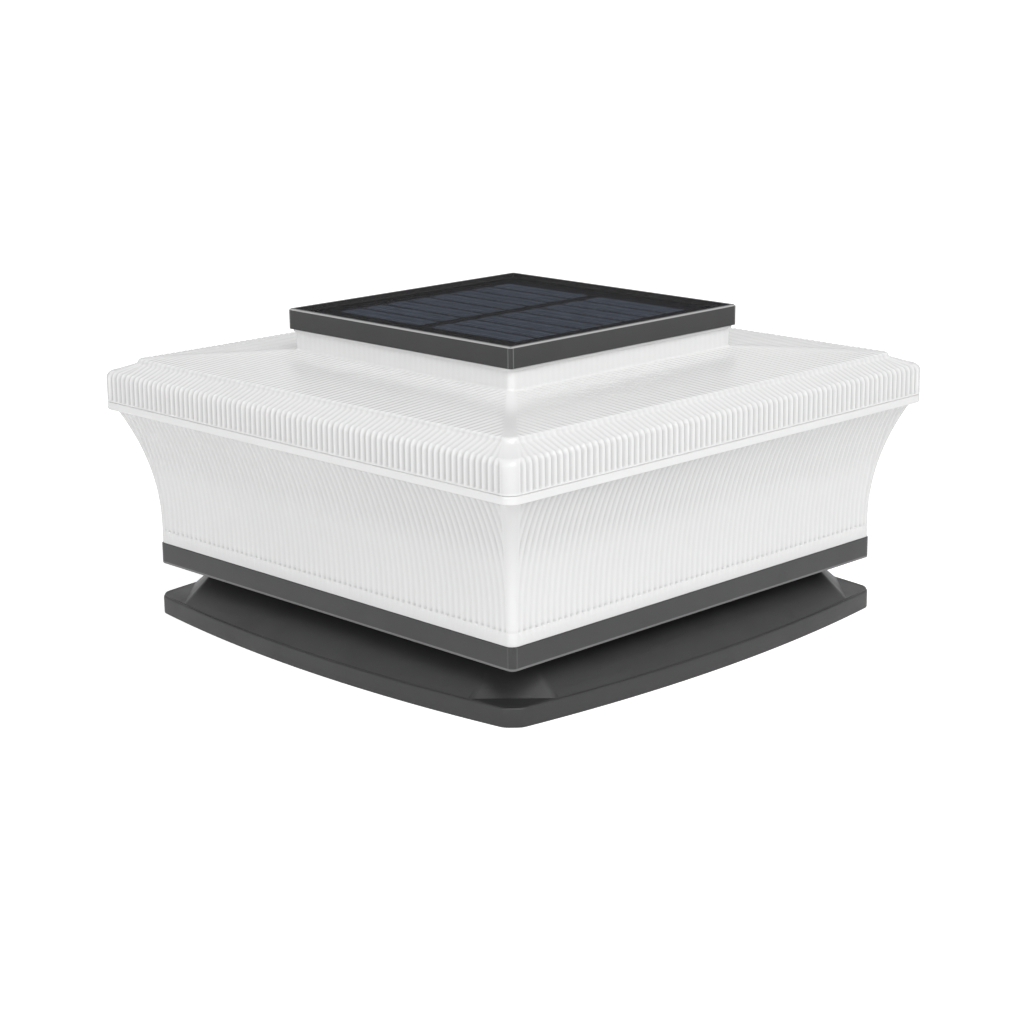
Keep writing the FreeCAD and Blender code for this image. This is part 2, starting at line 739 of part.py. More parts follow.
def battery_leaf_spring():
    """Minus contact: an upright leg, a fold and a leaf that bears on the cell."""
    back = bay_half_length
    front = back - spring_reach
    t = contact_thickness
    top = cell_axis_z + contact_height / 2
    low = cell_axis_z - contact_height / 2
    mid = cell_axis_z
    fold = leaf_bend * t
    tip = leaf_tip_drop * t
    outline = [
        (back, low), (back, top), (back - 2 * t, top), (front, mid + t), (front, mid - t),
        (front + fold - t, mid - tip), (front + fold, mid - tip + t / 2), (front + t, mid),
        (back - 2 * t, top - fold + t / 2), (back - t, top - fold + t / 2), (back - t, low),
    ]
    points = [V(x, bay_y - contact_width / 2, z) for x, z in outline]
    return Part.Face(Part.makePolygon(points + points[:1])).extrude(V(0, contact_width, 0))


def battery_door():
    """Cover of the bay, screwed to the tub's underside, with three finger ribs."""
    half_x = bay_half_length + door_end_overlap
    half_y = bay_half_width + door_overlap
    body = plate(half_x, half_y, tub_radius / 2, tub_z - door_thickness, tub_z, (0, bay_y))
    for k in (-1, 0, 1):
        centre = (0, bay_y + k * grip_pitch)
        rib_z = tub_z - door_thickness - grip_height
        body = body.fuse(block(cell_radius, grip_width / 2, rib_z, tub_z - door_thickness / 2, centre))
    tools = [post(small_hole_radius, centre, tub_z - 2 * door_thickness, tub_z + through)
             for centre in door_screw_points()]
    return drilled(body, tools).removeSplitter()


def door_screws():
    """Two small screws of the door."""
    seat = tub_z - door_thickness
    length = door_thickness + tub_wall + small_screw_length - 2 * screw_end_gap
    return Part.makeCompound([screw(centre, seat, length, small_screw_radius, small_head_radius,
                                    small_head_height)
                              for centre in door_screw_points()])


def door_pad():
    """Foam pad between door and cell."""
    return block(pad_length / 2, bay_half_width - bay_wall, tub_z, tub_z + pad_thickness, (0, bay_y))


# ---- lamp strips ------------------------------------------------------------
def led_board(side):
    """One lamp strip under the tub."""
    return block(strip_length / 2, strip_width / 2, strip_z, tub_z, (0, side * strip_y))


def leds():
    """Lamp packages, in a row on each strip, facing down."""
    packages = []
    for side in (-1, 1):
        for k in range(leds_per_strip):
            x = (k - (leds_per_strip - 1) / 2) * led_pitch
            packages.append(block(led_length / 2, led_width / 2, strip_z - led_height, strip_z,
                                  (x, side * strip_y)))
    return Part.makeCompound(packages)


def led_cover(side):
    """Clear tray over one strip."""
    half_x = strip_length / 2 + cover_gap
    half_y = strip_width / 2 + cover_gap
    centre = (0, side * strip_y)
    body = plate(half_x + cover_wall, half_y + cover_wall, cover_wall, tub_z - cover_depth, tub_z, centre)
    hollow = plate(half_x, half_y, cover_wall / 4, tub_z - cover_depth + cover_wall, tub_z + through, centre)
    return body.cut(hollow)


# ---- control board, switch, leads -------------------------------------------
def control_board():
    """Circuit board on the standoffs."""
    body = block(board_length / 2, board_width / 2, board_z, board_top, (0, board_y))
    tools = [post(small_hole_radius, centre, board_z - through, board_top + through)
             for centre in board_screw_points()]
    return drilled(body, tools)


def board_components():
    """Chip, coil and capacitor at the board's right end, terminal block at its left end."""
    def place(end, inset):
        return (end * (board_length / 2 - inset[0]), board_y - board_width / 2 + inset[1])

    chip = block(chip_size[0] / 2, chip_size[1] / 2, board_top, board_top + chip_size[2],
                 place(1, chip_inset))
    coil = post(coil_radius, place(1, coil_inset), board_top, board_top + coil_height)
    capacitor = post(capacitor_radius, place(1, capacitor_inset), board_top, board_top + capacitor_height)
    size = terminal_size
    terminal = block(size[0] / 2, size[1] / 2, board_top, board_top + size[2], place(-1, terminal_inset))
    return Part.makeCompound([chip, coil, capacitor, terminal])


def board_screws():
    """Two small screws that hold the board down, heads up."""
    screws = []
    length = board_thickness + board_height - screw_end_gap
    for centre in board_screw_points():
        upright = screw((0, 0), 0, length, small_screw_radius, small_head_radius, small_head_height)
        upright.rotate(V(0, 0, 0), V(1, 0, 0), 180)
        upright.translate(V(centre[0], centre[1], board_top))
        screws.append(upright)
    return Part.makeCompound(screws)


def switch_body():
    """Slide switch under the board: a can with a room for the slider's foot."""
    centre = (0, switch_y)
    z0 = board_z - switch_height
    body = block(switch_length / 2, switch_width / 2, z0, board_z, centre)
    room_x = (foot_length + slider_travel) / 2 + slider_gap
    room_y = switch_width / 2 - switch_wall
    body = body.cut(block(room_x, room_y, z0 + switch_wall, board_z - switch_wall, centre))
    slot_x = (stem_length + slider_travel) / 2 + slider_gap
    return body.cut(block(slot_x, stem_width / 2 + slider_gap, z0 - through, z0 + 2 * switch_wall, centre))


def switch_slider():
    """Foot in the switch, stem through the tub's floor, knob below it; stored at off."""
    centre = (-slider_travel / 2, switch_y)
    room_floor = board_z - switch_height + switch_wall
    foot_y = switch_width / 2 - switch_wall - slider_gap
    foot_z = room_floor + slider_gap
    foot = block(foot_length / 2, foot_y, foot_z, foot_z + foot_height, centre)
    knob_top = tub_z - knob_gap
    stem = block(stem_length / 2, stem_width / 2, knob_top - knob_thickness / 2,
                 foot_z + foot_height / 2, centre)
    knob = block(knob_length / 2, knob_width / 2, knob_top - knob_thickness, knob_top, centre)
    knob_z = knob_top - knob_thickness
    grips = [block(knob_grip_width / 2, knob_width / 2, knob_z - knob_grip_height,
                   knob_z + knob_thickness / 2,
                   (centre[0] + k * knob_length / 3, switch_y)) for k in (-1, 0, 1)]
    return joined([foot, stem, knob] + grips)


def lead(name, route):
    """Insulated lead along straight runs joined by tangent arcs."""
    edges = []
    radii = []
    start = route[0]
    for before, point, after in zip(route, route[1:], route[2:]):
        arrive = (point - before).normalize()
        leave = (after - point).normalize()
        half_turn = arrive.getAngle(leave) / 2
        reach = bend_share * min((point - before).Length, (after - point).Length)
        radii.append(reach / math.tan(half_turn))
        first = point - arrive * reach
        last = point + leave * reach
        middle_way = (leave - arrive).normalize()
        rise = radii[-1] / math.cos(half_turn) - radii[-1]
        edges.append(Part.makeLine(start, first))
        edges.append(Part.Arc(first, point + middle_way * rise, last).toShape())
        start = last
    edges.append(Part.makeLine(start, route[-1]))
    path = Part.Wire(edges)
    section = Part.Wire(Part.makeCircle(lead_radius, route[0], route[1] - route[0]))
    tube = path.makePipeShell([section], True, False)
    expected = math.pi * lead_radius**2 * path.Length
    print("%s: smallest radius %.2f, volume ratio %.4f"
          % (name, min(radii, default=0), tube.Volume / expected))
    return tube


def panel_lead(name, polarity):
    """From the panel's back through the frame's slot down to the board."""
    x = polarity * lead_pair / 2
    return lead(name, [
        V(x, lead_slot_y, backing_z),
        V(x, lead_slot_y, frame_z - lead_bow),
        V(x - lead_bow, lead_slot_y + lead_bow, (frame_z + board_top) / 2),
        V(x - lead_bow, lead_slot_y + lead_bow, board_top),
    ])


def battery_lead(name, polarity):
    """From a battery contact's side edge over the bay's wall to the board."""
    side = -polarity
    x = side * (bay_half_length - contact_thickness / 2)
    over = tub_floor_z + bay_wall_height + battery_lead_rise
    board_edge = board_y - board_width / 2
    landing_x = side * (standoff_x - 2 * standoff_radius)
    return lead(name, [
        V(x, bay_y + contact_width / 2, over),
        V(x, board_edge - lead_radius, over),
        V(landing_x, board_edge + battery_lead_landing, over - lead_radius),
        V(landing_x, board_edge + battery_lead_landing, board_top),
    ])


def strip_leads(name, polarity):
    """To both lamp strips: straight down to the rear one, over the cell to the front one."""
    rear = strip_lead_points(1, polarity)
    front = strip_lead_points(-1, polarity)
    over = cell_axis_z + cell_radius + 2 * lead_radius
    start_y = board_y - board_width / 2 + lead_edge
    short = post(lead_radius, rear, tub_z, board_z)
    long = lead(name, [
        V(front[0], start_y, board_top),
        V(front[0], start_y, over - lead_rise),
        V(front[0], bay_y, over + lead_rise),
        V(front[0], front[1], over - 2 * lead_rise),
        V(front[0], front[1], tub_z),
    ])
    return Part.makeCompound([short, long])


def build():
    """Every piece under its node's name."""
    return {
        "post_base": post_base(),
        "reflector_plate": reflector_plate(),
        "lower_tray": lower_tray(),
        "tray_screws": tray_screws(),
        "lower_lens": lower_lens(),
        "upper_lens": upper_lens(),
        "collar_gasket": collar_gasket(),
        "solar_frame": solar_frame(),
        "panel_seal": panel_seal(),
        "panel_backing": panel_backing(),
        "solar_cells": solar_cells(),
        "panel_cover": panel_cover(),
        "housing_tub": housing_tub(),
        "housing_screws": housing_screws(),
        "battery_cell": battery_cell(),
        "battery_contact": battery_contact(),
        "battery_leaf_spring": battery_leaf_spring(),
        "battery_door": battery_door(),
        "door_screws": door_screws(),
        "door_pad": door_pad(),
        "led_board_front": led_board(-1),
        "led_board_rear": led_board(1),
        "leds": leds(),
        "led_cover_front": led_cover(-1),
        "led_cover_rear": led_cover(1),
        "control_board": control_board(),
        "board_components": board_components(),
        "board_screws": board_screws(),
        "switch_body": switch_body(),
        "switch_slider": switch_slider(),
        "panel_lead_red": panel_lead("panel_lead_red", 1),
        "panel_lead_black": panel_lead("panel_lead_black", -1),
        "battery_lead_red": battery_lead("battery_lead_red", 1),
        "battery_lead_black": battery_lead("battery_lead_black", -1),
        "lamp_lead_red": strip_leads("lamp_lead_red", 1),
        "lamp_lead_black": strip_leads("lamp_lead_black", -1),
    }


os.makedirs("parts", exist_ok=True)
for node, shape in build().items():
    shape.exportStep("parts/%s.step" % node)
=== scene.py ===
"""Looks of a deck post cap light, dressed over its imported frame.

Sizes are in millimetres, as in the part's source, and become metres when a mesh is
made. Each finish is a small class, and each sub-assembly a class that builds and
dresses its own pieces. The camera, floor and lamps come last, in the class Studio.
"""

import json
import logging
import math
from dataclasses import dataclass
from enum import Enum

import bpy
import bmesh
import numpy as np
from mathutils import Matrix, Vector


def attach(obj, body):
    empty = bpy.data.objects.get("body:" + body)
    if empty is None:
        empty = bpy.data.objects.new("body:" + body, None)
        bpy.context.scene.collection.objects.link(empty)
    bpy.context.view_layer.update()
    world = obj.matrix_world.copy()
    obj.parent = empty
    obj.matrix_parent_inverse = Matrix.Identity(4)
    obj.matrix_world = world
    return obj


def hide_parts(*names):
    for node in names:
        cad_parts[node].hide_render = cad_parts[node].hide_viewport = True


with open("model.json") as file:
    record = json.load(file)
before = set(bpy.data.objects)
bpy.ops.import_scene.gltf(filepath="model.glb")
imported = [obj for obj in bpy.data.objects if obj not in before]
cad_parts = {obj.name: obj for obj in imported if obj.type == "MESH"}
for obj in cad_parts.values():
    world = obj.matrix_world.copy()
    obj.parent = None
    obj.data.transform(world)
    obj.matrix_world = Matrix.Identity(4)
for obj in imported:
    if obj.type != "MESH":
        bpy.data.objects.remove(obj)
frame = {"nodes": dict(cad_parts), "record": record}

Socket = bpy.types.NodeSocket
Colour = tuple[float, float, float]
Outline = tuple[np.ndarray, np.ndarray]

LOG = logging.getLogger("post_cap_light")
METRE = 0.001               # a millimetre in metres
WELD = 2e-6                 # points nearer than this are one point, in metres
TOUCH = 1e-6                # places this near are the same, in millimetres
NOISE_RANGE = (0.3, 0.7)    # noise outside it counts as its nearer end
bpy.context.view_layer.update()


class Body(Enum):
    """The bodies that pieces ride on."""

    BASE = "base"
    HEAD = "head"


# ---- node trees ---------------------------------------------------------------
class Nodes:
    """A material's node tree with short calls for the nodes that finishes use."""

    def __init__(self, name: str) -> None:
        """Makes an empty material.

        Args:
            name: the material's name.
        """
        self.material = bpy.data.materials.new(name)
        self.material.use_nodes = True
        self.tree = self.material.node_tree
        self.tree.nodes.clear()
        self.output = self.tree.nodes.new("ShaderNodeOutputMaterial")
        self.coordinate = self.tree.nodes.new("ShaderNodeTexCoord").outputs["Object"]

    def node(self, kind: str, **values: object) -> bpy.types.Node:
        """Adds a node.

        Args:
            kind: the node's type name.
            values: attributes of the node; a name that isn't one sets the socket of that name.

        Returns:
            The new node.
        """
        new = self.tree.nodes.new(kind)
        for key, value in values.items():
            if hasattr(new, key):
                setattr(new, key, value)
            else:
                new.inputs[key].default_value = value
        return new

    def link(self, output: Socket, target: Socket) -> None:
        """Links two sockets."""
        self.tree.links.new(output, target)

    def feed(self, value: Socket | float, target: Socket) -> None:
        """Links a socket to an input, or sets the input to a number.

        Args:
            value: the socket or number.
            target: the input.
        """
        if isinstance(value, Socket):
            self.link(value, target)
        else:
            target.default_value = value

    def noise(self, scale: float, detail: float = 2.0, stretch: Colour = (1.0, 1.0, 1.0)) -> Socket:
        """Noise on object coordinates.

        Args:
            scale: cycles per metre.
            detail: octaves.
            stretch: scale along each axis.

        Returns:
            The noise value's socket.
        """
        mapping = self.node("ShaderNodeMapping")
        mapping.inputs["Scale"].default_value = stretch
        self.link(self.coordinate, mapping.inputs["Vector"])
        noise = self.node("ShaderNodeTexNoise", Scale=scale, Detail=detail)
        self.link(mapping.outputs["Vector"], noise.inputs["Vector"])
        return noise.outputs["Fac"]

    def ramp(self, value: Socket, low: float, high: float, to_low: float, to_high: float) -> Socket:
        """Maps a value from one range to another, clamped.

        Args:
            value: the value.
            low: start of its range.
            high: end of its range.
            to_low: result at the start.
            to_high: result at the end.

        Returns:
            The result's socket.
        """
        ranged = self.node("ShaderNodeMapRange")
        for key, number in zip(("From Min", "From Max", "To Min", "To Max"), (low, high, to_low, to_high)):
            ranged.inputs[key].default_value = number
        self.link(value, ranged.inputs["Value"])
        return ranged.outputs["Result"]

    def math(self, operation: str, *values: Socket | float) -> Socket:
        """Works out an operation.

        Args:
            operation: the Math node's name for it.
            values: sockets or numbers that it takes.

        Returns:
            The result's socket.
        """
        step = self.node("ShaderNodeMath", operation=operation)
        for value, target in zip(values, step.inputs):
            self.feed(value, target)
        return step.outputs[0]

    def axes(self) -> tuple[Socket, Socket, Socket]:
        """The object coordinate's three axes.

        Returns:
            Sockets of x, y and z, in metres.
        """
        parts = self.node("ShaderNodeSeparateXYZ")
        self.link(self.coordinate, parts.inputs["Vector"])
        return parts.outputs["X"], parts.outputs["Y"], parts.outputs["Z"]

    def blend(self, factor: Socket, first: Socket | Colour, second: Colour) -> Socket:
        """Mixes two colours.

        Args:
            factor: 0 for the first colour, 1 for the second.
            first: a linked or plain colour.
            second: a plain colour.

        Returns:
            The mixed colour's socket.
        """
        mix = self.node("ShaderNodeMix", data_type="RGBA")
        self.link(factor, mix.inputs["Factor"])
        self.feed(first if isinstance(first, Socket) else (*first, 1.0), mix.inputs["A"])
        self.feed((*second, 1.0), mix.inputs["B"])
        return mix.outputs["Result"]

    def bump(self, height: Socket, strength: float, distance: float, normal: Socket | None = None) -> Socket:
        """Bump from a height.

        Args:
            height: socket of the height.
            strength: 0 to 1.
            distance: the height's reach in metres.
            normal: normal to start from, where bumps are stacked.

        Returns:
            The bumped normal's socket.
        """
        bump = self.node("ShaderNodeBump", Strength=strength, Distance=distance)
        self.link(height, bump.inputs["Height"])
        if normal is not None:
            self.link(normal, bump.inputs["Normal"])
        return bump.outputs["Normal"]

    def principled(self, **values: Socket | float) -> bpy.types.Material:
        """Adds the surface shader, the last node of a tree.

        Args:
            values: sockets or numbers for the shader's inputs, spaces written as underscores.

        Returns:
            The finished material.
        """
        shader = self.node("ShaderNodeBsdfPrincipled")
        for key, value in values.items():
            self.feed(value, shader.inputs[key.replace("_", " ")])
        self.link(shader.outputs["BSDF"], self.output.inputs["Surface"])
        return self.material


def grey(level: float, tint: Colour = (1.0, 1.0, 1.0)) -> Colour:
    """A grey of that linear level, times a tint."""
    return tuple(level * share for share in tint)


# ---- finishes: noise scales in cycles per metre, reliefs in metres ------------
@dataclass(frozen=True)
class MouldedPlastic:
    """Satin moulded plastic: fine spark grain, faint flow marks and uneven gloss.

    Colour is two greys mixed by slow noise, roughness follows another noise, and the
    bump adds a grain of about half a millimetre to a slow waviness.
    """

    name: str
    tone: float
    tint: Colour = (1.0, 1.0, 1.02)
    spread: float = 0.12
    cloud_scale: float = 38.0
    roughness: float = 0.42
    glossier: float = 0.05
    duller: float = 0.06
    sheen_scale: float = 90.0
    wave_scale: float = 14.0
    wave: float = 0.12
    wave_relief: float = 0.0006
    grain_scale: float = 2400.0
    grain: float = 0.10
    grain_relief: float = 0.00012

    def material(self) -> bpy.types.Material:
        """Builds the material.

        Returns:
            The material.
        """
        n = Nodes(self.name)
        clouds = n.noise(self.cloud_scale, 4.0)
        dark, light = (grey(self.tone * (1 + side * self.spread), self.tint) for side in (-1, 1))
        sheen = n.noise(self.sheen_scale, 3.0)
        waves = n.bump(n.noise(self.wave_scale), self.wave, self.wave_relief)
        return n.principled(
            Specular_IOR_Level=0.5,
            Base_Color=self.with_painted_highlights(n, n.blend(clouds, dark, light)),
            Roughness=n.ramp(sheen, *NOISE_RANGE, self.roughness - self.glossier,
                             self.roughness + self.duller),
            Normal=n.bump(n.noise(self.grain_scale, 1.0), self.grain, self.grain_relief, waves))

    def with_painted_highlights(self, n: Nodes, colour: Socket) -> Socket:
        """The colour with its painted highlights; plain plastic has none."""
        return colour


@dataclass(frozen=True)
class EdgedPlastic(MouldedPlastic):
    """Moulded plastic of a square part with painted highlights along its edges.

    One painted highlight line runs round the part at a range of levels, close to its outer faces. Upright
    lines of painted highlight run where the faces meet the rounded corners: there the distances from the two
    middle planes sum to twice the half width less the corner's radius. Sizes are in mm.
    """

    half: float = 53.5
    corner: float = 1.2
    low: float = 0.0
    high: float = 0.0
    reach: float = 0.5
    edge_highlight_tone: float = 0.25
    upright_highlight_tone: float = 0.12
    line: float = 0.16
    blur: float = 0.06

    def with_painted_highlights(self, n: Nodes, colour: Socket) -> Socket:
        """The colour with its painted highlight lines along the edges.

        Args:
            n: the tree.
            colour: the plastic's colour.

        Returns:
            Socket of the colour with lines.
        """
        x, y, z = n.axes()
        x, y = n.math("ABSOLUTE", x), n.math("ABSOLUTE", y)
        outer = self.step(n, n.math("MAXIMUM", x, y), self.half - self.reach, True)
        band = n.math("MULTIPLY", self.step(n, z, self.low, True), self.step(n, z, self.high, False))
        away = n.math("SUBTRACT", n.math("ADD", x, y), (2 * self.half - self.corner) * METRE)
        upright = self.step(n, n.math("ABSOLUTE", away), self.line, False)
        # painted highlights: lighter upright lines where the faces meet the rounded corners
        lined = n.blend(upright, colour, grey(self.upright_highlight_tone))
        # and a lighter painted highlight band round the outer faces between two levels
        return n.blend(n.math("MULTIPLY", outer, band), lined, grey(self.edge_highlight_tone))

    def step(self, n: Nodes, value: Socket, level: float, rising: bool) -> Socket:
        """A soft step at a level in mm, from 0 to 1 or back."""
        ends = (0.0, 1.0) if rising else (1.0, 0.0)
        return n.ramp(value, (level - self.blur) * METRE, (level + self.blur) * METRE, *ends)


@dataclass(frozen=True)
class RibbedClear:
    """Clear ribbed plastic, milky from the light that its ribs scatter.

    A painted glow makes it palest over the white housing in the middle, as if lit from inside, and it
    darkens a little outwards. The mesh's groove attribute, the depth below the rib crests in mm, paints
    shade into the grooves: the colour goes from the crest's tone to the painted groove shade as the depth
    nears the full one.
    """

    name: str
    tone: float = 0.92
    uneven: tuple[float, float] = (0.975, 1.01)
    tint: Colour = (0.997, 1.0, 1.0)
    cloud_scale: float = 22.0
    housing_glow_tone: float = 1.0
    inner_reach: float = 56.0
    outer_reach: float = 90.0
    groove_shade_tone: float = 0.66
    full_depth: float = 0.55
    clearness: float = 0.3
    roughness: float = 0.2
    play: float = 0.04
    sheen_scale: float = 30.0

    def material(self) -> bpy.types.Material:
        """Builds the material.

        Returns:
            The material.
        """
        n = Nodes(self.name)
        dark, light = (self.tone * share for share in self.uneven)
        outer = n.blend(n.noise(self.cloud_scale, 3.0), grey(dark, self.tint), grey(light))
        # painted light: paler towards the middle, where the white housing would light the lens from inside
        x, y, _ = n.axes()
        away = n.math("MAXIMUM", n.math("ABSOLUTE", x), n.math("ABSOLUTE", y))
        housing_glow = n.ramp(away, self.inner_reach * METRE, self.outer_reach * METRE, 1.0, 0.0)
        crest = n.blend(housing_glow, outer, grey(self.housing_glow_tone))
        # painted shade: the deeper the rib groove, the darker its colour
        depth = n.node("ShaderNodeAttribute", attribute_name="groove").outputs["Fac"]
        share = n.ramp(depth, 0.0, self.full_depth, 0.0, 1.0)
        sheen = n.noise(self.sheen_scale)
        return n.principled(
            IOR=1.49, Transmission_Weight=self.clearness, Specular_IOR_Level=0.5,
            Coat_Weight=0.3, Coat_Roughness=0.1,
            Base_Color=n.blend(share, crest, grey(self.groove_shade_tone)),
            Roughness=n.ramp(sheen, 0.0, 1.0, self.roughness - self.play, self.roughness + self.play))


@dataclass(frozen=True)
class ClearSheet:
    """Thin clear sheet: mostly see-through, with a faint haze and the gloss of its face."""

    name: str
    cover: float = 0.07
    tone: float = 0.05
    spread: float = 0.3
    glossiest: float = 0.29
    dullest: float = 0.39
    haze_scale: float = 120.0

    def material(self) -> bpy.types.Material:
        """Builds the material.

        Returns:
            The material.
        """
        n = Nodes(self.name)
        haze = n.noise(self.haze_scale, 3.0)
        dark, light = (grey(self.tone * (1 + side * self.spread)) for side in (-1, 1))
        return n.principled(
            IOR=1.45, Alpha=self.cover, Specular_IOR_Level=0.3,
            Base_Color=n.blend(haze, dark, light),
            Roughness=n.ramp(haze, 0.0, 1.0, self.glossiest, self.dullest))


@dataclass(frozen=True)
class SolarCell:
    """Navy silicon with fine fingers across the strips and two bus lines along them, sizes in mm."""

    name: str
    finger_pitch: float = 2.6
    finger_width: float = 0.16
    bus_offset: float = 2.2
    bus_width: float = 0.3
    row_pitch: float = 10.19375
    softness: float = 0.2
    dark_silicon: Colour = (0.036, 0.044, 0.060)
    light_silicon: Colour = (0.052, 0.062, 0.084)
    silver: Colour = (0.10, 0.11, 0.13)
    crystal_scale: float = 160.0
    silicon_roughness: float = 0.34
    silver_roughness: float = 0.42
    line_relief: float = 0.00005

    def material(self) -> bpy.types.Material:
        """Builds the material.

        Returns:
            The material.
        """
        n = Nodes(self.name)
        x, y, _ = n.axes()
        fingers = self.stripe(n, x, self.finger_pitch, self.finger_width, 0.0)
        middle = self.row_pitch / 2
        buses = [self.stripe(n, y, self.row_pitch, self.bus_width, middle + side * self.bus_offset)
                 for side in (-1, 1)]
        lines = n.math("MAXIMUM", fingers, n.math("MAXIMUM", *buses))
        crystals = n.ramp(n.noise(self.crystal_scale, 4.0), *NOISE_RANGE, 0.0, 1.0)
        silicon = n.blend(crystals, self.dark_silicon, self.light_silicon)
        return n.principled(
            Specular_IOR_Level=0.0,
            Base_Color=n.blend(lines, silicon, self.silver),
            Roughness=n.ramp(lines, 0.0, 1.0, self.silicon_roughness, self.silver_roughness),
            Normal=n.bump(lines, 0.3, self.line_relief))

    def stripe(self, n: Nodes, axis: Socket, pitch: float, width: float, shift: float) -> Socket:
        """Lines across an axis: 1 where the distance to the nearest line is under half its width.

        Args:
            n: the tree.
            axis: coordinate in metres.
            pitch: distance between lines, in mm.
            width: a line's width, in mm.
            shift: place of one line, in mm.

        Returns:
            Socket of the mask.
        """
        wrapped = n.math("FLOORED_MODULO", n.math("ADD", axis, (pitch / 2 - shift) * METRE), pitch * METRE)
        distance = n.math("ABSOLUTE", n.math("SUBTRACT", wrapped, pitch / 2 * METRE))
        edge = width / 2 * METRE
        return n.ramp(distance, edge * (1 - self.softness), edge * (1 + self.softness), 1.0, 0.0)


@dataclass(frozen=True)
class PlatedMetal:
    """Plated metal with fine drawn lines along one axis."""

    name: str
    tone: Colour = (0.62, 0.62, 0.63)
    roughness: float = 0.34
    glossier: float = 0.05
    duller: float = 0.07
    shade: float = 0.85
    line_scale: float = 700.0
    stretch: Colour = (1.0, 14.0, 1.0)
    line_relief: float = 0.00005

    def material(self) -> bpy.types.Material:
        """Builds the material.

        Returns:
            The material.
        """
        n = Nodes(self.name)
        lines = n.noise(self.line_scale, 3.0, self.stretch)
        return n.principled(
            Metallic=1.0,
            Base_Color=n.blend(lines, grey(self.shade, self.tone), self.tone),
            Roughness=n.ramp(lines, *NOISE_RANGE, self.roughness - self.glossier,
                             self.roughness + self.duller),
            Normal=n.bump(lines, 0.1, self.line_relief))


@dataclass(frozen=True)
class SoftFoam:
    """Foam or rubber with open pores."""

    name: str
    tone: float = 0.05
    pore_scale: float = 900.0
    strength: float = 0.5
    spread: float = 0.4
    pore_relief: float = 0.0003

    def material(self) -> bpy.types.Material:
        """Builds the material.

        Returns:
            The material.
        """
        n = Nodes(self.name)
        pores = n.noise(self.pore_scale, 3.0)
        dark, light = (grey(self.tone * (1 + side * self.spread)) for side in (-1, 1))
        return n.principled(
            Roughness=0.85, Specular_IOR_Level=0.3,
            Base_Color=n.blend(pores, dark, light),
            Normal=n.bump(pores, self.strength, self.pore_relief))


@dataclass(frozen=True)
class TintedPlastic:
    """Coloured plastic or lacquer: wrap, insulation, circuit board, lamp package."""

    name: str
    first: Colour
    second: Colour
    scale: float
    roughness: float
    stretch: Colour = (1.0, 1.0, 1.0)
    gloss: float = 0.5
    patches: tuple[float, float] = (0.35, 0.65)
    glossier: float = 0.06
    duller: float = 0.08
    finer: float = 9.0
    relief: float = 0.0002

    def material(self) -> bpy.types.Material:
        """Builds the material.

        Returns:
            The material.
        """
        n = Nodes(self.name)
        clouds = n.noise(self.scale, 3.0, self.stretch)
        grain = n.noise(self.scale * self.finer)
        return n.principled(
            Specular_IOR_Level=self.gloss,
            Base_Color=n.blend(n.ramp(clouds, *self.patches, 0.0, 1.0), self.first, self.second),
            Roughness=n.ramp(clouds, *NOISE_RANGE, self.roughness - self.glossier,
                             self.roughness + self.duller),
            Normal=n.bump(grain, 0.08, self.relief))


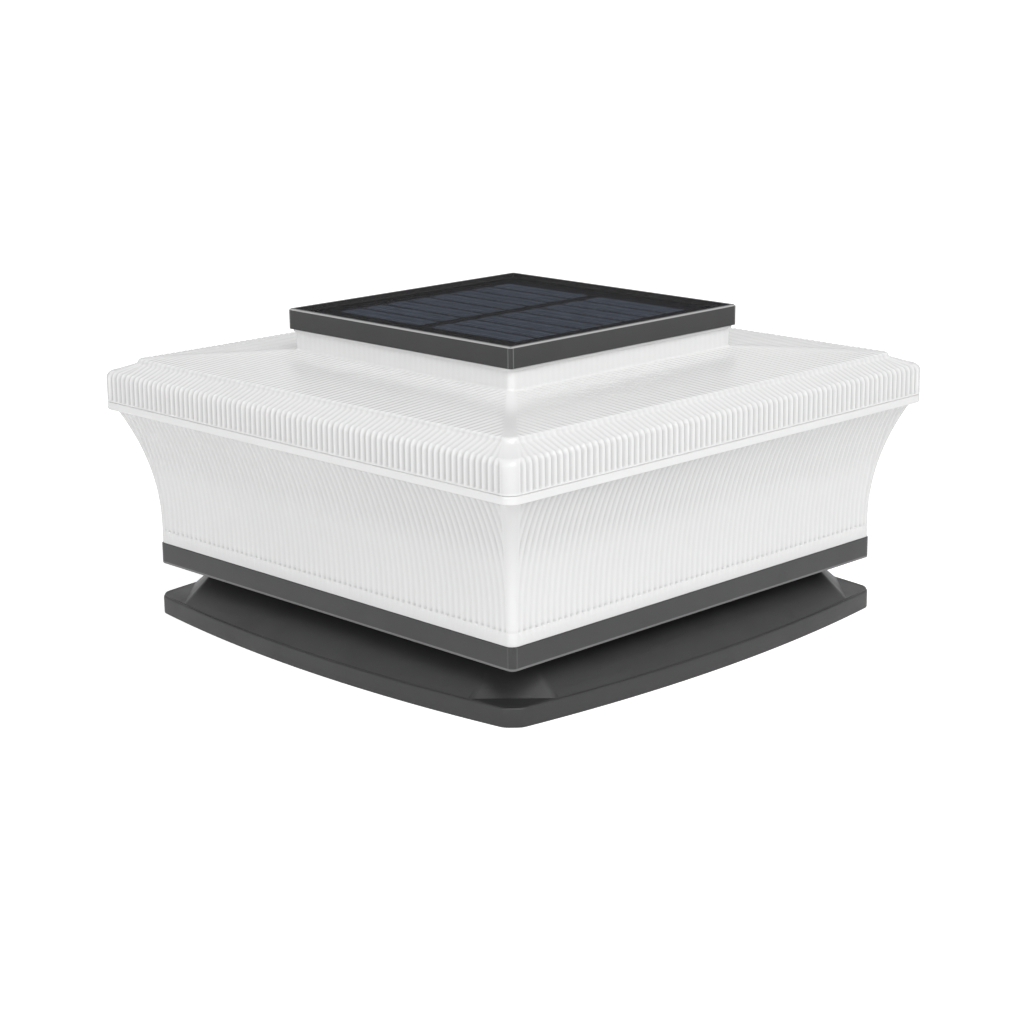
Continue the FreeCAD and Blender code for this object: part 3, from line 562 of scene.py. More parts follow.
class Wardrobe:
    """Every finish of the light, made once and shared by the pieces."""

    def __init__(self) -> None:
        """Makes the materials, one per material slot of the record."""
        finishes = {
            "base_black": MouldedPlastic("satin_black_base", 0.028, roughness=0.40),
            # the tray's bottom edge and the frame's top edge get painted highlight lines
            "tray_black": EdgedPlastic("satin_black_tray", 0.034, roughness=0.36, half=86.8, corner=2.0,
                                       low=16.0, high=18.3, reach=0.8, edge_highlight_tone=0.14, upright_highlight_tone=0.055,
                                       line=0.3),
            "frame_black": EdgedPlastic("satin_black_frame", 0.029, roughness=0.38, low=105.6, high=107.0,
                                        edge_highlight_tone=0.35, upright_highlight_tone=0.14),
            "lens_clear": RibbedClear("ribbed_clear_lens"),
            "white_plastic": MouldedPlastic("white_moulding", 0.80, (1.0, 1.0, 0.985), spread=0.02,
                                            roughness=0.45, grain=0.04),
            "screw_steel": PlatedMetal("plated_screw"),
            "seal_rubber": SoftFoam("seal_rubber", 0.03, 500.0, 0.15),
            "foam": SoftFoam("foam", 0.06),
            "panel_black": TintedPlastic("panel_backing", (0.006, 0.006, 0.008), (0.009, 0.009, 0.011),
                                         120.0, 0.4, gloss=0.0),
            "cell_navy": SolarCell("solar_cell"),
            "cover_clear": ClearSheet("clear_sheet"),
            "cell_wrap": TintedPlastic("cell_wrap", (0.03, 0.16, 0.42), (0.04, 0.20, 0.50), 60.0, 0.34),
            "contact_nickel": PlatedMetal("nickel_strip", (0.66, 0.64, 0.58), 0.35),
            "board_white": TintedPlastic("strip_board", (0.82, 0.82, 0.79), (0.88, 0.88, 0.86), 90.0, 0.4),
            "board_green": TintedPlastic("control_board", (0.012, 0.14, 0.05), (0.02, 0.20, 0.07),
                                         300.0, 0.36, (1.0, 4.0, 1.0)),
            "component_black": TintedPlastic("component", (0.02, 0.02, 0.022), (0.035, 0.035, 0.037),
                                             200.0, 0.45),
            "led_body": TintedPlastic("lamp_package", (0.85, 0.70, 0.22), (0.92, 0.80, 0.36), 400.0, 0.36),
            "switch_metal": PlatedMetal("switch_can", (0.7, 0.7, 0.69)),
            "knob_black": MouldedPlastic("switch_knob", 0.025, roughness=0.45),
            "lead_red": TintedPlastic("red_insulation", (0.42, 0.02, 0.02), (0.55, 0.03, 0.03), 200.0, 0.4),
            "lead_black": TintedPlastic("black_insulation", (0.015, 0.015, 0.016), (0.025, 0.025, 0.026),
                                        200.0, 0.4),
        }
        self.materials = {slot: finish.material() for slot, finish in finishes.items()}

    def dress(self, piece: bpy.types.Object, slot: str) -> None:
        """Gives a piece the finish of a slot and names the slot.

        Args:
            piece: the piece.
            slot: one of the record's material slots.
        """
        piece.data.materials.clear()
        piece.data.materials.append(self.materials[slot])
        LOG.info("%s: %d faces, %s", piece.name, len(piece.data.polygons), slot)

    def dress_nodes(self, nodes: dict[str, bpy.types.Object], slots: dict[str, str]) -> None:
        """Gives the carried-over nodes their finishes.

        Args:
            nodes: the frame's nodes.
            slots: material slot of each node.
        """
        for name, piece in nodes.items():
            if not piece.material_slots:
                piece.data.materials.append(None)
            for place in piece.material_slots:
                place.material = self.materials[slots[name]]
            LOG.info("%s: carried over, %s", name, slots[name])


# ---- surfaces -----------------------------------------------------------------
class Surface:
    """Grids of points gathered to one mesh and welded where they meet."""

    def __init__(self) -> None:
        """Starts with nothing."""
        self.points: list[np.ndarray] = []
        self.quads: list[np.ndarray] = []
        self.count = 0

    def add(self, grid: np.ndarray, ring: bool = False, loop: bool = False, flip: bool = False) -> None:
        """Adds a grid; each cell becomes a quad.

        Args:
            grid: rows by columns by 3 or 4, in mm: place and depth below the rib crests, which the lens
                paints as groove shade. Seen from outside, columns run to the right when rows run up.
            ring: the last column joins the first.
            loop: the last row joins the first.
            flip: turns the faces over.
        """
        rows, columns, channels = grid.shape
        grid = np.pad(grid, ((0, 0), (0, 0), (0, 4 - channels)))
        index = np.arange(rows * columns).reshape(rows, columns) + self.count
        if ring:
            index = np.hstack([index, index[:, :1]])
        if loop:
            index = np.vstack([index, index[:1]])
        corners = [index[:-1, :-1], index[:-1, 1:], index[1:, 1:], index[1:, :-1]]
        quads = np.stack(corners, axis=-1).reshape(-1, 4)
        self.quads.append(quads[:, ::-1] if flip else quads)
        self.points.append(grid.reshape(-1, 4))
        self.count += rows * columns

    def add_lining(self, other: "Surface") -> None:
        """Adds another surface's grids with their faces turned over."""
        self.quads += [quads[:, ::-1] + self.count for quads in other.quads]
        self.points += other.points
        self.count += other.count

    def piece(self, name: str, smooth_under: float = 34.0) -> bpy.types.Object:
        """Makes the object, with its place in its mesh.

        Args:
            name: the object's name.
            smooth_under: edges that turn by more than this many degrees are sharp.

        Returns:
            The object, linked to the scene.
        """
        table = np.concatenate(self.points)
        quads = np.concatenate(self.quads)
        mesh = bpy.data.meshes.new(name)
        mesh.vertices.add(len(table))
        mesh.vertices.foreach_set("co", (table[:, :3] * METRE).astype(np.float32).ravel())
        mesh.loops.add(quads.size)
        mesh.loops.foreach_set("vertex_index", quads.astype(np.int32).ravel())
        mesh.polygons.add(len(quads))
        mesh.polygons.foreach_set("loop_start", np.arange(0, quads.size, 4, dtype=np.int32))
        mesh.update(calc_edges=True)
        # this depth is also what the lens's material paints as groove shade
        groove = mesh.attributes.new("groove", "FLOAT", "POINT")
        groove.data.foreach_set("value", table[:, 3].astype(np.float32))
        work = bmesh.new()
        work.from_mesh(mesh)
        bmesh.ops.remove_doubles(work, verts=work.verts, dist=WELD)
        bmesh.ops.dissolve_degenerate(work, edges=work.edges, dist=WELD / 4)
        work.to_mesh(mesh)
        work.free()
        mesh.validate()
        mesh.shade_smooth()
        mesh.set_sharp_from_angle(angle=math.radians(smooth_under))
        piece = bpy.data.objects.new(name, mesh)
        bpy.context.scene.collection.objects.link(piece)
        return piece


def mixed(first: float, second: float, share: float | np.ndarray) -> float | np.ndarray:
    """The value a share of the way from the first to the second."""
    return first + (second - first) * share


def at_corners(reach: float) -> list[tuple[float, float]]:
    """The four points at plus and minus reach."""
    return [(sx * reach, sy * reach) for sx in (-1, 1) for sy in (-1, 1)]


def four_sides(block: np.ndarray) -> list[np.ndarray]:
    """One side's points, rows by columns by channels, turned by quarter turns to all four sides."""
    x, y, *rest = np.moveaxis(block, -1, 0)
    return [np.stack([a, b, *rest], axis=-1) for a, b in ((x, y), (-y, x), (-x, -y), (y, -x))]


def full_rings(block: np.ndarray) -> np.ndarray:
    """One side's points repeated for the four sides and joined to full rings."""
    return np.concatenate(four_sides(block), axis=1)


def mirrored(grid: np.ndarray) -> np.ndarray:
    """A side's columns mirrored about the diagonal, in the order that goes on to the next side."""
    return grid[:, ::-1][..., [1, 0, 2, 3]]


def tube(centre: tuple[float, float], rows: list[tuple[float, float]], steps: int = 24) -> np.ndarray:
    """Round rings about an upright axis.

    Args:
        centre: the axis, x and y.
        rows: radius and level of each ring, from the bottom outwards and up.
        steps: points round a ring.

    Returns:
        Rings by steps by 3.
    """
    table = np.array(rows)
    angle = np.linspace(0, 2 * np.pi, steps, endpoint=False)
    x = centre[0] + table[:, :1] * np.cos(angle)
    y = centre[1] + table[:, :1] * np.sin(angle)
    z = np.broadcast_to(table[:, 1:], x.shape)
    return np.stack([x, y, z], axis=-1)


@dataclass(frozen=True)
class Corner:
    """One corner of a section: half width, level, plan radius, fillet cut and rib depth."""

    half: float
    level: float
    plan_radius: float
    fillet: float = 0.0
    rib: float = 0.0
    steps: int = 4


@dataclass
class Section:
    """A section of rings: half width, level, plan radius and rib depth of each, and its outward normal.

    A normal that isn't given is the section's tangent, turned a quarter turn outwards.
    """

    half: np.ndarray
    level: np.ndarray
    radius: np.ndarray
    rib: np.ndarray
    out: np.ndarray | None = None
    up: np.ndarray | None = None

    def __post_init__(self) -> None:
        """Works out the normals."""
        if self.out is None:
            along_half, along_level = np.gradient(self.half), np.gradient(self.level)
            length = np.hypot(along_half, along_level)
            self.out, self.up = along_level / length, -along_half / length

    @property
    def limit(self) -> np.ndarray:
        """Half length of each ring's straight sides."""
        return self.half - self.radius

    def picked(self, *rows: int) -> "Section":
        """Some of the rings, with their normals kept."""
        parts = (self.half, self.level, self.radius, self.rib, self.out, self.up)
        return Section(*(values[list(rows)] for values in parts))

    @staticmethod
    def through(corners: list[Corner]) -> "Section":
        """Rings through corners; a fillet is a parabola from its cut before a corner to its cut after it.

        Args:
            corners: the section's corners in order, outer side upwards.

        Returns:
            The section.
        """
        rows = []
        values = np.array([(c.half, c.level, c.plan_radius, c.rib) for c in corners])
        for k, corner in enumerate(corners):
            here = values[k]
            if corner.fillet <= 0 or k in (0, len(corners) - 1):
                rows.append(here[None])
                continue
            ends = []
            for other in (values[k - 1], values[k + 1]):
                share = min(corner.fillet / math.hypot(*(other[:2] - here[:2])), 0.5)
                ends.append(mixed(here, other, share))
            t = np.linspace(0, 1, corner.steps + 1)[:, None]
            curve = (1 - t) ** 2 * ends[0] + 2 * t * (1 - t) * here + t**2 * ends[1]
            curve[:, 3] = here[3]
            rows.append(curve)
        return Section(*np.concatenate(rows).T)


@dataclass(frozen=True)
class Ribbing:
    """Ribs that stand in planes square to each side.

    A rib's crest lies on the nominal surface. Between crests the surface drops by the
    rib depth times half of one minus the cosine of the place along the side, in pitches,
    and the drop fades out where a side meets its rounded corner.
    """

    pitch: float = 2.5
    samples: int = 8
    fade: float = 0.9

    def drop(self, place: np.ndarray, limit: np.ndarray, depth: np.ndarray) -> np.ndarray:
        """Depth below the nominal surface.

        Args:
            place: place along the side.
            limit: where the side's straight part ends.
            depth: the ribs' depth.

        Returns:
            The drop at each place.
        """
        wave = 0.5 - 0.5 * np.cos(2 * np.pi * place / self.pitch)
        return depth * wave * np.clip((limit - np.abs(place)) / self.fade, 0, 1)

    def places(self, reach: float, extra: tuple[float, ...] = ()) -> np.ndarray:
        """Places along a side: a fixed share of a pitch apart, out to the reach on both ends.

        Args:
            reach: the outermost place.
            extra: further places to hold, each on both sides of the middle.

        Returns:
            The places in order.
        """
        step = self.pitch / self.samples
        inner = np.arange(0, reach - step / 3, step)
        half = np.unique(np.concatenate([inner, [reach], list(extra)]))
        keep = np.ones(len(half), bool)
        keep[1:] = (np.diff(half) > step / 4) | np.isin(half, [0.0, reach, *extra])[1:]
        half = half[keep]
        return np.concatenate([-half[:0:-1], half])


@dataclass(frozen=True)
class SquareShell:
    """Rings of rounded squares whose sides carry ribs.

    Each ring has the same columns: the places along a side, a stretch from their reach to
    the rounded corner, the corner's quarter circle, and the stretch on the next side.
    """

    ribbing: Ribbing
    places: np.ndarray
    stretch_steps: int
    arc_steps: int = 10
    round_shade_share: float = 0.4

    def straight(self, s: Section, place: np.ndarray) -> np.ndarray:
        """Points on the straight part of a side: the nominal ones less the drop along the normal.

        Args:
            s: the rings' section.
            place: places along the side, rings by columns.

        Returns:
            Rings by columns by 4: x, y, level and drop.
        """
        drop = self.ribbing.drop(place, s.limit[:, None], s.rib[:, None])
        x = s.half[:, None] - drop * s.out[:, None]
        z = s.level[:, None] - drop * s.up[:, None]
        return np.stack([x, place, z, drop], axis=-1)

    def facet(self, s: Section, reach: np.ndarray) -> np.ndarray:
        """Points at the shell's places along one side, drawn together to each ring's reach."""
        return self.straight(s, self.places[None] * (reach / self.places[-1])[:, None])

    def corner(self, s: Section, reach: np.ndarray) -> np.ndarray:
        """Points from a side's reach round the corner to the next side's, both ends left out.

        The round itself has no ribs. Its groove value is a share of the ribs' depth, about
        their mean, a painted shade so that it is no paler than the sides.

        Args:
            s: the rings' section.
            reach: where the side's ribs end, one per ring.

        Returns:
            Rings by columns by 4.
        """
        share = np.linspace(0, 1, self.stretch_steps + 1)[1:]
        stretch = self.straight(s, mixed(reach[:, None], s.limit[:, None], share))
        angle = np.linspace(0, np.pi / 2, self.arc_steps + 1)[1:-1]
        x = s.limit[:, None] + s.radius[:, None] * np.cos(angle)
        y = s.limit[:, None] + s.radius[:, None] * np.sin(angle)
        z = np.broadcast_to(s.level[:, None], x.shape)
        # painted shade on the smooth round, as dark as the ribbed sides on average
        round_painted_shade = np.broadcast_to(self.round_shade_share * s.rib[:, None], x.shape)
        return np.concatenate([stretch, np.stack([x, y, z, round_painted_shade], axis=-1), mirrored(stretch)], axis=1)

    def rings(self, s: Section, reach: np.ndarray) -> np.ndarray:
        """Full rings, rows by columns by 4."""
        return full_rings(np.concatenate([self.facet(s, reach), self.corner(s, reach)], axis=1))


# ---- base plate ---------------------------------------------------------------
@dataclass
class BasePlate:
    """Black base plate: bowed rim, slope with corner facets, plug, stepped sockets below."""

    rim_height: float = 6.25
    rim_mid: float = 94.9            # centre to the middle of a bowed side
    rim_corner: float = 87.7         # half width at the sharp corners
    rim_reach: float = 122.02        # centre to the flat that cuts a corner
    rim_foot: tuple = ((0.35, 0.0), (0.1, 0.1), (0.0, 0.35))     # insets and levels
    rim_edge: tuple = ((0.0, -0.6), (0.06, -0.32), (0.2, -0.12), (0.42, -0.02), (0.6, 0.0), (0.75, -0.1),
                       (0.9, -0.16))                             # insets and levels over the rim's top
    slope_inset: float = 1.0
    slope_reach: float = 113.23      # centre to the foot of a corner facet
    slope_inner_reach: float = 110.93
    slope_foot: float = 0.05         # over the rim's top
    slope_steps: int = 6
    shoulder_half: float = 75.0
    shoulder_cut: float = 6.0
    shoulder_level: float = 17.45
    shoulder_thickness: float = 3.0
    shoulder_edge: tuple = ((0.25, -0.12), (-0.1, 0.0))          # outsets and levels
    plug_half: float = 69.6
    plug_top: float = 22.05
    plug_radius: float = 3.0
    socket_radius: float = 1.5
    post_widths: tuple = (139.7, 114.3, 88.9)
    post_clearance: float = 0.75
    socket_depth: float = 4.7
    wall: float = 2.6
    bevel: float = 0.3
    under_facet: float = 1.1         # lift of the slope's inner skin at its foot
    under_rim: float = 0.9           # and at the rim
    crease: float = 1.5
    side_steps: int = 40
    crease_steps: int = 4
    peg_reach: float = 54.0
    peg_bore: float = 1.95
    peg_floor: float = 14.75
    boss_radius: float = 4.0
    boss_foot: float = 11.5
    boss_top: float = 21.65
    screw_reach: float = 30.0
    screw_bore: float = 1.95
    screw_span: tuple = (13.0, 18.0)
    sharp_over: float = 30.0

    def bowed(self, mid: float, corner: float, reach: float) -> Outline:
        """One side and corner of the bowed outline.

        The side is an arc through two sharp corners and the side's middle; a flat square
        to the diagonal cuts each corner, and parabolas round the creases beside it.

        Args:
            mid: centre to the middle of a side.
            corner: half width at the sharp corners.
            reach: centre to the corner's flat.

        Returns:
            x and y of the points, from the side's start to the next side's start.
        """
        sagitta = mid - corner
        radius = (corner**2 + sagitta**2) / (2 * sagitta)
        middle = reach * math.sqrt(2) - mid + radius
        end = (middle - math.sqrt(2 * radius**2 - middle**2)) / 2
        height = mid - radius + math.sqrt(radius**2 - end**2)
        y = np.linspace(-end + self.crease, end - self.crease, self.side_steps + 1)
        x = mid - radius + np.sqrt(radius**2 - y**2)
        flat = np.array([end - height, height - end])
        return self.with_corner(x, y, np.array([height, end]), flat / np.hypot(*flat) * self.crease)

    def cut_square(self, half: float) -> Outline:
        """One side and corner of a square whose corners are cut at 45 degrees, with rounded creases.

        Args:
            half: half width of the square.

        Returns:
            x and y of the points.
        """
        end = half - self.shoulder_cut
        y = np.linspace(-end + self.crease, end - self.crease, self.side_steps + 1)
        step = np.array([-1.0, 1.0]) / math.sqrt(2) * self.crease
        return self.with_corner(np.full_like(y, half), y, np.array([half, end]), step)

    def with_corner(self, x: np.ndarray, y: np.ndarray, crease: np.ndarray, step: np.ndarray) -> Outline:
        """Adds a corner to a side: two rounded creases, mirrored about the diagonal.

        Args:
            x: the side's x.
            y: the side's y.
            crease: the sharp crease that ends the side.
            step: from the crease along the corner's flat to where the rounding ends.

        Returns:
            x and y with the corner added.
        """
        start = np.array([x[-1], y[-1]])
        t = np.linspace(0, 1, self.crease_steps + 1)[1:, None]
        curve = (1 - t) ** 2 * start + 2 * t * (1 - t) * crease + t**2 * (crease + step)
        table = np.concatenate([np.stack([x, y], axis=1), curve, curve[::-1, ::-1]])
        return table[:, 0], table[:, 1]

    def rounded(self, half: float, radius: float) -> Outline:
        """One side and corner of a rounded square, with as many points as a bowed outline.

        Args:
            half: half width of the square.
            radius: of its corners, held to the half width.

        Returns:
            x and y of the points.
        """
        radius = min(radius, half)
        limit = half - radius
        y = np.linspace(-limit, limit, self.side_steps + 1)
        angle = np.linspace(0, np.pi / 2, 2 * self.crease_steps + 2)[1:-1]
        x = np.concatenate([np.full_like(y, half), limit + radius * np.cos(angle)])
        return x, np.concatenate([y, limit + radius * np.sin(angle)])

    def ring(self, outline: Outline, level: float) -> np.ndarray:
        """A full ring of an outline at a level."""
        x, y = outline
        return full_rings(np.stack([x, y, np.full_like(x, level)], axis=-1)[None])

    def rim(self, inset: float, level: float, reach: float | None = None) -> np.ndarray:
        """A bowed ring inside the rim's outline.

        Args:
            inset: distance inside the outline.
            level: of the ring.
            reach: centre to the corner's flat, if that isn't the outline's less the inset.

        Returns:
            The ring.
        """
        reach = self.rim_reach - inset if reach is None else reach
        return self.ring(self.bowed(self.rim_mid - inset, self.rim_corner - inset, reach), level)

    def outside(self) -> list[np.ndarray]:
        """Rings over the rim and up the slope to the shoulder.

        Between the slope's foot and its crest each point moves along a straight line.

        Returns:
            The rings in order.
        """
        top = self.rim_height
        rings = [self.rim(inset, level) for inset, level in self.rim_foot]
        rings += [self.rim(inset, top + level) for inset, level in self.rim_edge]
        foot = self.rim(self.slope_inset, top + self.slope_foot, self.slope_reach)
        half, high = self.shoulder_half, self.shoulder_level
        crest, shoulder = (self.ring(self.cut_square(half + outset), high + level)
                           for outset, level in self.shoulder_edge)
        shares = np.linspace(0, 1, self.slope_steps + 1)
        return rings + [foot, *(mixed(foot, crest, share) for share in shares[1:-1]), crest, shoulder]

    def plug(self) -> list[np.ndarray]:
        """Rings up the plug, over its edge, down inside it and over the sockets to the middle.

        Returns:
            The rings in order.
        """
        edge, top, wall = self.plug_half, self.plug_top, self.wall
        profile = [(edge, self.shoulder_level), (edge, top - self.bevel), (edge - self.bevel, top),
                   (edge - wall, top)]
        halves, levels = zip(*self.sockets())
        steps = [edge - wall, *(half + wall for half in halves[1:]), 0.0]
        for here, after, level in zip(steps, steps[1:], levels):
            profile += [(here, level + wall), (after, level + wall)]
        return [self.ring(self.rounded(half, self.plug_radius), level) for half, level in profile]

    def sockets(self) -> list[tuple[float, float]]:
        """Half width and floor of the post sockets, the widest first."""
        return [(width / 2 + self.post_clearance, k * self.socket_depth)
                for k, width in enumerate(self.post_widths, 1)]

    def underside(self) -> list[np.ndarray]:
        """Rings from the middle down the sockets' steps, up beside them and out to the rim.

        Returns:
            The rings in order.
        """
        profile, inner = [], 0.0
        for half, level in reversed(self.sockets()):
            profile += [(inner, level), (half, level)]
            inner = half
        profile += [(inner, self.bevel), (inner + self.bevel, 0.0), (inner + self.wall, 0.0),
                    (inner + self.wall, self.shoulder_level - self.shoulder_thickness)]
        rings = [self.ring(self.rounded(half, self.socket_radius), level) for half, level in profile]
        slope = (self.shoulder_level - self.rim_height) / (self.rim_mid - self.shoulder_half)
        drop = self.wall * math.hypot(1, slope)
        rings.append(self.ring(self.cut_square(self.shoulder_half), self.shoulder_level - drop))
        under = self.rim_height - drop
        return rings + [self.rim(self.wall, under + self.under_facet, self.slope_inner_reach),
                        self.rim(self.wall, under + self.under_rim), self.rim(self.wall, 0.0)]

    def build(self) -> bpy.types.Object:
        """Builds the plate as one closed skin round its section.

        Returns:
            The plate.
        """
        skin = Surface()
        skin.add(np.concatenate(self.outside() + self.plug() + self.underside()), ring=True, loop=True)
        piece = skin.piece("base_plate_skin", self.sharp_over)
        self.drill(piece)
        return piece

    def drill(self, piece: bpy.types.Object) -> None:
        """Cuts the four post screw holes through the plate with a boolean of round pins.

        Args:
            piece: the plate.
        """
        pins = Surface()
        low, high = self.screw_span
        for centre in at_corners(self.screw_reach):
            rows = [(0.0, low), (self.screw_bore, low), (self.screw_bore, high), (0.0, high)]
            pins.add(tube(centre, rows), ring=True)
        cutter = pins.piece("screw_pins")
        cut = piece.modifiers.new("post_screw_holes", "BOOLEAN")
        cut.operation = "DIFFERENCE"
        cut.object = cutter
        cut.solver = "EXACT"
        bpy.context.view_layer.update()
        graph = bpy.context.evaluated_depsgraph_get()
        mesh = bpy.data.meshes.new_from_object(piece.evaluated_get(graph))
        old = piece.data
        piece.modifiers.clear()
        piece.data = mesh
        mesh.name = "base_plate"
        mesh.set_sharp_from_angle(angle=math.radians(self.sharp_over))
        bpy.data.meshes.remove(old)
        bpy.data.objects.remove(cutter)

    def bosses(self) -> bpy.types.Object:
        """Four blind tubes for the reflector's pegs.

        Returns:
            The tubes as one piece.
        """
        skin = Surface()
        radius, foot, top, bore = self.boss_radius, self.boss_foot, self.boss_top, self.peg_bore
        rows = [(0, foot), (radius, foot), (radius, top - self.bevel), (radius - self.bevel, top),
                (bore, top), (bore, self.peg_floor), (0, self.peg_floor)]
        for centre in at_corners(self.peg_reach):
            skin.add(tube(centre, rows), ring=True)
        return skin.piece("base_peg_bosses")

    def dress(self, wardrobe: Wardrobe) -> None:
        """Builds, dresses and mounts the plate's pieces."""
        plate = self.build()
        for piece in (plate, self.bosses()):
            wardrobe.dress(piece, "base_black")
            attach(piece, Body.BASE.value)
        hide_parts("post_base")


# ---- tray ---------------------------------------------------------------------
@dataclass
class LowerTray:
    """Black ring under the lens, hollow below, with an upstand round its opening."""

    half: float = 86.8
    radius: float = 2.0
    hollow_radius: float = 1.5
    foot: float = 17.45
    foot_inset: float = 1.0
    top: float = 24.9
    wall: float = 2.2
    opening: float = 70.0
    opening_radius: float = 3.0
    upstand: float = 1.5
    upstand_height: float = 2.0
    foot_round: float = 0.45
    edge_round: float = 0.25
    upstand_round: float = 0.2
    screw_reach: float = 80.1
    boss_bore: float = 1.75
    boss_radius: float = 3.5
    boss_height: float = 2.9
    boss_bevel: float = 0.2

    def build(self) -> bpy.types.Object:
        """One closed skin round the section, and the four screw bosses.

        Returns:
            The tray.
        """
        h, top, foot, w, inner = self.half, self.top, self.foot, self.wall, self.opening
        r, lip = self.opening_radius, self.upstand_round
        section = Section.through([
            Corner(h - w, foot, self.hollow_radius), Corner(h - self.foot_inset, foot, self.radius),
            Corner(h, foot, self.radius, self.foot_round, steps=5),
            Corner(h, top, self.radius, self.edge_round, steps=3), Corner(inner + self.upstand, top, r),
            Corner(inner + self.upstand, top + self.upstand_height, r, lip, steps=3),
            Corner(inner, top + self.upstand_height, r, lip, steps=3), Corner(inner, foot, r, lip, steps=3),
            Corner(inner + w, foot, r), Corner(inner + w, top - w, r),
            Corner(h - w, top - w, self.hollow_radius)])
        shell = SquareShell(Ribbing(), np.array([-1.0, 1.0]), 0)
        skin = Surface()
        skin.add(shell.rings(section, section.limit), ring=True, loop=True)
        bore, boss, bevel = self.boss_bore, self.boss_radius, self.boss_bevel
        roof, seat = top - w, top - w - self.boss_height
        rows = [(bore, roof), (bore, seat), (boss - bevel, seat), (boss, seat + bevel), (boss, roof)]
        for centre in at_corners(self.screw_reach):
            skin.add(tube(centre, rows)[::-1], ring=True, flip=True, loop=True)
        return skin.piece("tray_skin")

    def dress(self, wardrobe: Wardrobe) -> None:
        """Builds, dresses and mounts the tray."""
        piece = self.build()
        wardrobe.dress(piece, "tray_black")
        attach(piece, Body.HEAD.value)
        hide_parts("lower_tray")


# ---- lenses -------------------------------------------------------------------
@dataclass
class LowerLens:
    """Flared ribbed wall of the lens, its lip and tongue, foot flange and screw bosses."""

    ribbing: Ribbing
    foot: float = 24.9
    half: float = 86.7
    radius: float = 2.5
    foot_round: float = 0.3
    flange_half: float = 71.9
    flange_radius: float = 3.0
    flange_inner_radius: float = 1.5
    flare_level: float = 31.4
    flare_height: float = 40.8
    flare_radius: float = 88.6
    flare_steps: int = 22
    inner_steps: int = 8
    lip: float = 2.1
    lip_rounds: tuple = (0.45, 0.4)
    lip_inset: float = 0.3           # flare's top to where the lip's underside starts
    rib_end: float = 0.1             # under the flare's top
    seam: float = 74.95
    seam_gap: float = 0.04
    band_radius: float = 4.0
    tongue_gap: float = 2.5          # lip's edge to the tongue's outer face
    tongue_wall: float = 1.6
    tongue_height: float = 3.0
    tongue_radii: tuple = (3.0, 2.0)
    tongue_foot: float = 0.4         # over the inner flare's top
    tongue_round: float = 0.25
    wall: float = 2.2
    rib_foot: float = 29.1
    rib_depth: float = 0.26
    rib_start: tuple = ((0.0, 0.0), (0.3, 1.7), (0.7, 1.4), (1.2, 0.6))    # heights and shares of the depth
    rib_profile: tuple = ((0.0, 0.1, 0.42, 0.62, 0.9, 1.0), (0.6, 0.5, 0.45, 1.0, 1.0, 0.8))
    rib_margin: float = 0.4          # from the ribs' reach to the rounded corner
    wall_half: float = 83.0          # the outer wall's rings are wider than this,
    wall_foot: float = 0.5           # start this far over the foot
    wall_slack: float = 0.3          # and have straight parts this much longer than the reach
    narrow_share: float = 0.985      # the reach of other rings, as a share of their straight part
    stretch_steps: int = 26
    sharp_over: float = 40.0
    screw_reach: float = 80.1
    boss_bore: float = 1.5
    boss_radius: float = 3.5
    boss_top: float = 41.1
    boss_roof: float = 0.8
    boss_bevel: float = 0.3

    def flare(self, inset: float, count: int, rib: float) -> list[Corner]:
        """Corners up the flare: the wall leans out by the flare radius less the height of its arc.

        Args:
            inset: distance inside the outer face.
            count: number of corners.
            rib: rib depth.

        Returns:
            The corners, from the flare's foot to the lip.
        """
        share = np.linspace(0, 1, count)
        rise = self.flare_height * share
        out = self.flare_radius - np.sqrt(self.flare_radius**2 - rise**2)
        radius = mixed(self.radius, self.band_radius, share**2)
        depth = rib * np.interp(share, *self.rib_profile)
        return [Corner(self.half + o - inset, self.flare_level + z, r, rib=d)
                for o, z, r, d in zip(out, rise, radius, depth)]

    def section(self) -> Section:
        """The closed section, from the flange's edge up the outside and down the inside.

        Returns:
            The section.
        """
        h, r, foot, lip_radius = self.half, self.radius, self.foot, self.band_radius
        corners = [Corner(self.flange_half, foot, self.flange_radius),
                   Corner(h, foot, r, self.foot_round, steps=3)]
        corners += [Corner(h, self.rib_foot + over, r, rib=share * self.rib_depth)
                    for over, share in self.rib_start]
        corners += self.flare(0.0, self.flare_steps, self.rib_depth)
        top = corners.pop()
        band, seam, tip = top.half + self.lip, self.seam - self.seam_gap, self.seam + self.tongue_height
        tongue, hollow = band - self.tongue_gap, band - self.tongue_gap - self.tongue_wall
        lower, upper = self.lip_rounds
        outer_radius, inner_radius = self.tongue_radii
        inner = self.flare(self.wall, self.inner_steps, 0.0)[::-1]
        return Section.through([
            *corners, Corner(top.half, top.level - self.rib_end, top.plan_radius),
            Corner(top.half + self.lip_inset, top.level, lip_radius),
            Corner(band, top.level, lip_radius, lower, steps=5), Corner(band, seam, lip_radius, upper),
            Corner(tongue, seam, lip_radius),
            Corner(tongue, tip, outer_radius, self.tongue_round, steps=3),
            Corner(hollow, tip, inner_radius, self.tongue_round, steps=3),
            Corner(hollow, inner[0].level + self.tongue_foot, inner_radius), *inner,
            Corner(h - self.wall, foot + self.wall, r),
            Corner(self.flange_half, foot + self.wall, self.flange_inner_radius)])

    def build(self) -> bpy.types.Object:
        """One closed ribbed skin; its ribs reach equally far on every ring of the outer wall.

        Returns:
            The lens.
        """
        section = self.section()
        lowest = section.limit[section.rib > 0].min() - self.rib_margin
        wall = (section.level > self.foot + self.wall_foot) & (section.half > self.wall_half)
        wide = wall & (section.limit >= lowest + self.wall_slack)
        reach = np.where(wide, lowest, np.minimum(section.limit * self.narrow_share, lowest))
        shell = SquareShell(self.ribbing, self.ribbing.places(lowest), self.stretch_steps)
        skin = Surface()
        skin.add(shell.rings(section, reach), ring=True, loop=True)
        return skin.piece("lower_lens_skin", self.sharp_over)

